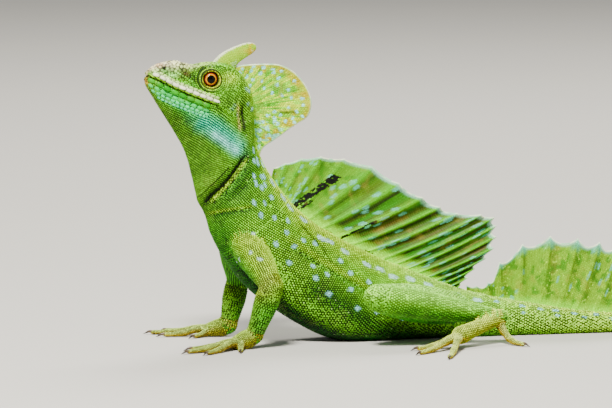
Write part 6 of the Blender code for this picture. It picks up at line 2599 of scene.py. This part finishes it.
@dataclass
class Casque(Sheet):
    """The tall crest on the back of the head, a fan about a point in the skull."""

    def middle(self, share: Array, out: Array) -> Array:
        """The middle of the crest."""
        number = share * (len(CASQUE_REACH) - 1)
        slope, reach = curve_through(CASQUE_REACH, number).T
        slope = np.radians(slope)
        radius = reach * (0.22 + 0.78 * out)
        ripple = 0.35 * smooth_step(out, 0.4, 1.0) * np.sin(number * 2.1)
        return np.stack(
            [CASQUE_HUB[0] + radius * np.cos(slope), ripple, CASQUE_HUB[1] + radius * np.sin(slope)], axis=-1
        )

    def half(self, share: Array, out: Array) -> Array:
        """Half its thickness."""
        return 0.4 + 1.2 * np.clip(1 - out, 0, 1) ** 1.5

    def spots(self) -> Array:
        """The middles of its spots, as rows of number along it and out, in arcs about its hub."""
        random = np.random.default_rng(CREST_SPOT_SEED)
        rows = []
        for out, first, last, gap in (
            (0.42, 2.0, 9.0, 1.2), (0.62, 1.2, 11.0, 0.8), (0.78, 0.7, 8.0, 0.7), (0.91, 0.6, 7.5, 0.7),
        ):
            for number in np.arange(first, last, gap):
                rows.append((number + random.uniform(-0.3, 0.3) * gap, out + random.uniform(-0.07, 0.06)))
        return np.array(rows)

    def paint(self, share: Array, out: Array, points: Array, scattered: Array | None = None) -> Array:
        """Yellow-green in fine rows with pale blue spots, rust near the rim and a pale edge that is partly
        painted highlight.
        """
        number = share * (len(CASQUE_REACH) - 1)
        flat = np.stack([number, out], axis=1)
        streak = soft_noise(flat, (0.09, 0.2), Pattern.CREST_STREAKS)
        rust = soft_noise(points, 3.0, Pattern.CREST_RUST)
        rim = smooth_step(out, 0.8, 0.95) * (1 - smooth_step(number, 6.5, 8.0))
        blue = soft_noise(flat, (0.3, 0.09), Pattern.CREST_BLUE)
        lower = smooth_step(number, 7.2, 8.5)
        slit = ((points[:, 0] + 9.2) / 5.0) ** 2 + ((points[:, 2] - 114.3) / 1.1) ** 2
        spots, upright = self.spots(), (1.0, 0.0, 1.0)
        tree = tree_of(self.middle(spots[:, 0] / (len(CASQUE_REACH) - 1), spots[:, 1]) * upright)
        away = nearest(tree, self.middle(share, out) * upright)
        ragged = 0.4 * (soft_noise(points, 0.7, Pattern.CREST_SPOT_EDGES) - 0.5)
        colour = layered(
            plain((0.34, 0.74, 0.0), points),
            ((0.09, 0.38, 0.0), 0.85 * smooth_step(streak, 0.5, 0.7)),
            ((0.72, 0.92, 0.0), 0.75 * smooth_step(1 - streak, 0.55, 0.72)),
            ((0.40, 0.20, 0.01), 0.65 * smooth_step(rust, 0.6, 0.8) * smooth_step(out, 0.6, 0.85)),
            ((0.50, 0.42, 0.05), 0.55 * rim),
            ((0.20, 0.52, 0.03), 0.6 * (1 - smooth_step(out, 0.08, 0.34))),
            ((0.30, 0.80, 0.66), 0.8 * lower * smooth_step(blue, 0.56, 0.66)),
            ((0.12, 0.13, 0.0), 0.8 * np.exp(-slit)),
            ((0.40, 0.94, 1.0), 0.95 * (1 - smooth_step(away + ragged, 0.7, 1.0))),
            # Pale edge: partly its own colour, partly painted highlight.
            ((0.86, 0.94, 0.74), smooth_step(out, 0.975, 1.0) * 0.8),
        )
        return varied(colour, scattered, 0.58, 0.76)


@dataclass
class Lobe(Sheet):
    """The small crest in front of the casque, a flat tongue that leans back."""

    def middle(self, share: Array, out: Array) -> Array:
        """The middle of the tongue, whose edge is out at 1 on both sides of its line."""
        number = self.station(share)
        line = np.array([row[0] for row in LOBE_STATIONS])
        centre = curve_through(line, number)
        depth = curve_through([row[1] for row in LOBE_STATIONS], number)
        tangent = unit(curve_through(np.gradient(line, axis=0), number))
        across = np.stack([-tangent[:, 1], tangent[:, 0]], axis=1)
        place = centre + across * (depth * (2 * out - 1))[:, None]
        return np.stack([place[:, 0], np.zeros(len(place)), place[:, 1]], axis=-1)

    @staticmethod
    def station(share: Array) -> Array:
        """Where along the lobe a share lies."""
        return share * (len(LOBE_STATIONS) - 1)

    def half(self, share: Array, out: Array) -> Array:
        """Half its thickness, round in section."""
        half = curve_through([row[2] for row in LOBE_STATIONS], self.station(share))
        return np.maximum(half * np.sqrt(np.clip(1 - (2 * out - 1) ** 2, 0, 1)), 0.05) * 0.95

    def paint(self, share: Array, out: Array, points: Array, scattered: Array | None = None) -> Array:
        """Yellow-green with a pale upper edge and a rusty tip."""
        rust = soft_noise(points, 2.2, Pattern.LOBE_RUST)
        pale = soft_noise(points, 1.5, Pattern.LOBE_PALE)
        colour = layered(
            plain((0.36, 0.60, 0.05), points),
            ((0.62, 0.24, 0.02), 0.8 * smooth_step(rust, 0.42, 0.65) * smooth_step(share, 0.5, 0.8)),
            ((0.88, 0.92, 0.74), 0.9 * smooth_step(out, 0.86, 0.96)),
            ((0.45, 0.70, 0.40), 0.5 * smooth_step(pale, 0.68, 0.8)),
        )
        return varied(colour, scattered, 0.84, 0.32)

    def rim(self) -> bpy.types.Mesh | None:
        """The lobe has no rim of its own."""
        return None


def tail_rays() -> tuple[Point, ...]:
    """Every ray of the sail on the tail, which shorten to nothing behind."""
    rays = list(TAIL_SAIL_RAYS)
    start, length, slope = rays[-1]
    for number in range(1, TAIL_SAIL_MORE_RAYS + 1):
        share = number / TAIL_SAIL_MORE_RAYS
        height = length + (TAIL_SAIL_LAST[0] - length) * share**1.3
        rays.append((start + number * TAIL_SAIL_SPACING, height, slope + (TAIL_SAIL_LAST[1] - slope) * share))
    return tuple(rays)


# Eyes and claws


@dataclass(frozen=True)
class Eye:
    """One eye.

    Args:
        side: Which side it is on.
        gaze: The way it looks, for the left eye.
        bulge: How far the cornea bulges.
        flattened: Its depth, as a share of its width.
    """

    side: Side
    gaze: Point = (-0.10, -1.0, 0.02)
    bulge: float = 0.35
    flattened: float = 0.97

    def build(self) -> None:
        """Makes the eyeball with a bulging cornea."""
        shape = bmesh.new()
        bmesh.ops.create_uvsphere(shape, u_segments=48, v_segments=32, radius=EYE_RADIUS)
        ahead = Vector((self.gaze[0], -self.gaze[1] * self.side.value, self.gaze[2])).normalized()
        across = ahead.cross(Vector(UPRIGHT)).normalized()
        up = across.cross(ahead)
        centre = to_side(EYE_PLACE, self.side)
        gaze = [tuple(vert.co) for vert in shape.verts]
        for vert, (x, y, z) in zip(shape.verts, gaze):
            bulge = self.bulge * math.exp(-((x * x + y * y) / 7.0)) if z > 0 else 0.0
            vert.co = centre + across * x + up * y + ahead * (z * self.flattened + bulge)
        mesh = mesh_of("eye", face_outward(shape))
        set_points(mesh, in_frame(points_of(mesh)))
        layer = mesh.attributes.new("gaze", "FLOAT_VECTOR", "POINT")
        layer.data.foreach_set("vector", np.array(gaze, np.float32).ravel())
        word = self.side.word
        make_piece(f"eyeball_{word}", mesh, EyeFinish().material(), Slot.EYE, (f"eye_{word}",))


@dataclass(frozen=True)
class Claws:
    """The claws of one hand or foot.

    Args:
        name: The piece's name.
        digits: The digits that carry them.
    """

    name: str
    digits: tuple[Tube, ...]

    def build(self) -> None:
        """Makes one curved claw at the end of each digit."""
        shapes, along = [], []
        share = np.linspace(0.0, 1.0, 9)
        length = CLAW_LENGTH + CLAW_ROOT
        height = 1.25 + 0.45 * np.sin(math.pi * np.minimum(share * 1.25, 1.0)) - 0.95 * share**1.6
        size = 0.82 * (1 - share**1.4) + 0.06
        for digit in self.digits:
            ahead = unit(digit.centres[-4] - digit.centres[-6])
            ahead[2] = 0.0
            ahead = unit(ahead)
            base = digit.centres[-3] - ahead * 0.8
            rows = base[None, :] + ahead[None, :] * (share * length)[:, None]
            rows[:, 2] = height
            shape = Tube("claw", rows, size * 0.8, size, UPRIGHT, depth=0.0).shape(16, 10)
            shapes.append(shape)
            points = np.array([vert.co[:] for vert in shape.verts])
            along.append(((points - base) @ ahead) / length)
        mesh = joined(shapes)
        layer = mesh.attributes.new("along", "FLOAT", "POINT")
        layer.data.foreach_set("value", np.concatenate(along).astype(np.float32))
        set_points(mesh, in_frame(points_of(mesh)))
        make_piece(self.name, mesh, ClawFinish().material(), Slot.TOE)


# The studio


def aimed(thing: bpy.types.Object, place: Vector, ahead: Vector) -> None:
    """Puts a light or a camera at a place, looking ahead.

    Args:
        thing: The light or the camera.
        place: Where it stands.
        ahead: The direction it looks in.
    """
    thing.location = place
    thing.rotation_mode = "QUATERNION"
    thing.rotation_quaternion = ahead.to_track_quat("-Z", "Y")


@dataclass(frozen=True)
class Studio:
    """A pale floor, soft lights and the camera.

    Args:
        azimuth: How far round the camera stands, in degrees.
        elevation: How high it looks from, in degrees.
        distance: How far off it stands, in metres.
        view_width: What the frame's width takes in at the middle of the body, in metres.
        rise: How far above the floor the frame's middle is, in metres.
        sensor: The width of the camera's sensor, in millimetres.
        floor: Half the floor's width, in metres.
        lit: Where the lights point.
        light: The colour of the lights.
        air: The colour of the air.
        glow: How bright the air is.
    """

    azimuth: float = -12.0
    elevation: float = 6.0
    distance: float = 3.0
    view_width: float = 0.306
    rise: float = 0.068
    sensor: float = 36.0
    floor: float = 30.0
    lit: Point = (-0.2, 0.0, 0.05)
    light: Colour = (1.0, 0.96, 0.86)
    air: Colour = (0.84, 0.86, 0.84)
    glow: float = 0.30

    def build(self) -> None:
        """Sets up the floor, the lights, the air and the camera."""
        shape = bmesh.new()
        bmesh.ops.create_grid(shape, x_segments=2, y_segments=2, size=self.floor)
        mesh = mesh_of("floor", shape)
        mesh.materials.append(FloorFinish().material())
        floor = in_scene("floor", mesh)
        for name, place, size, power in (
            ("key", (-0.8, -1.1, 1.7), 0.5, 120.0),
            ("fill", (1.3, -1.4, 0.8), 1.2, 6.0),
            ("back", (0.4, 1.3, 1.6), 0.9, 46.0),
        ):
            light = bpy.data.lights.new(name, "AREA")
            light.shape, light.size, light.energy, light.color = "DISK", size, power, self.light
            aimed(in_scene(name, light), Vector(place), Vector(self.lit) - Vector(place))
        world = bpy.data.worlds.new("air")
        world.use_nodes = True
        background = world.node_tree.nodes["Background"].inputs
        background["Color"].default_value = (*self.air, 1.0)
        background["Strength"].default_value = self.glow
        bpy.context.scene.world = world
        self.camera()

    def camera(self) -> None:
        """The camera, at the photograph's angle and framing."""
        azimuth, elevation = math.radians(self.azimuth), math.radians(self.elevation)
        level = math.cos(elevation)
        back = Vector((math.sin(azimuth) * level, -math.cos(azimuth) * level, math.sin(elevation)))
        up = back.cross(ahead_of(azimuth))
        aim = Vector((-BOX_MIDDLE[0] * MM, -BOX_MIDDLE[1] * MM, 0.0)) + up * self.rise
        data = bpy.data.cameras.new("camera")
        data.sensor_width = self.sensor
        data.lens = self.sensor * self.distance / self.view_width
        data.clip_start, data.clip_end = 0.1, 80.0
        camera = in_scene("camera", data)
        aimed(camera, aim + back * self.distance, -back)
        bpy.context.scene.camera = camera


def main() -> None:
    """Builds the animal and the studio."""
    Studio().build()
    trunk = Trunk()
    arms = [Arm(side, joints) for side, joints in zip(Side, ARM_JOINTS)]
    legs = [Leg(side, joints) for side, joints in zip(Side, LEG_JOINTS)]
    tubes = [tube for limb in (*arms, *legs) for tube in limb.tubes()]
    chart = Chart(trunk, tubes)
    skin = Skin(chart)
    skin.build()
    markings = Markings(chart)
    skin.dress(markings)
    Coat(skin, markings).build()
    for side in Side:
        Eye(side).build()
        fingers = tuple(tube for tube in tubes if tube.name.startswith(f"finger_{side.word}"))
        toes = tuple(tube for tube in tubes if tube.name.startswith(f"toe_{side.word}"))
        Claws(f"claws_hand_{side.word}", fingers).build()
        Claws(f"claws_foot_{side.word}", toes).build()
    Casque("casque", Slot.CASQUE, ("head_casque",), CREST_FINISH, 160, 48, 1.2, 96).build()
    Lobe("lobe", Slot.CASQUE, ("head_lobe",), CREST_FINISH, 60, 24, 1.1, 30).build()
    Sail(
        "sail_of_back", Slot.SAIL, ("back_sail",), SAIL_FINISH, 18 * 14, 60, 1.0, 18 * 9, trunk=trunk
    ).build()
    Sail(
        "sail_of_tail", Slot.SAIL, ("tail_sail_front", "tail_sail_rear"), SAIL_FINISH, 22 * 14, 48, 1.1, 22 * 10,
        trunk=trunk, rays=tail_rays(), scallops=(4.2, 2.4), strings=(), net=0.6, folded_from=40.0,
        ground=(0.20, 0.42, 0.0), open_ground=(0.22, 0.44, 0.0), ray_green=(0.30, 0.56, 0.0),
        gap=10.0, span=34.0, dashes=70,
    ).build()


if __name__ == "__main__":
    logging.basicConfig(level=logging.INFO, format="%(message)s")
    main()
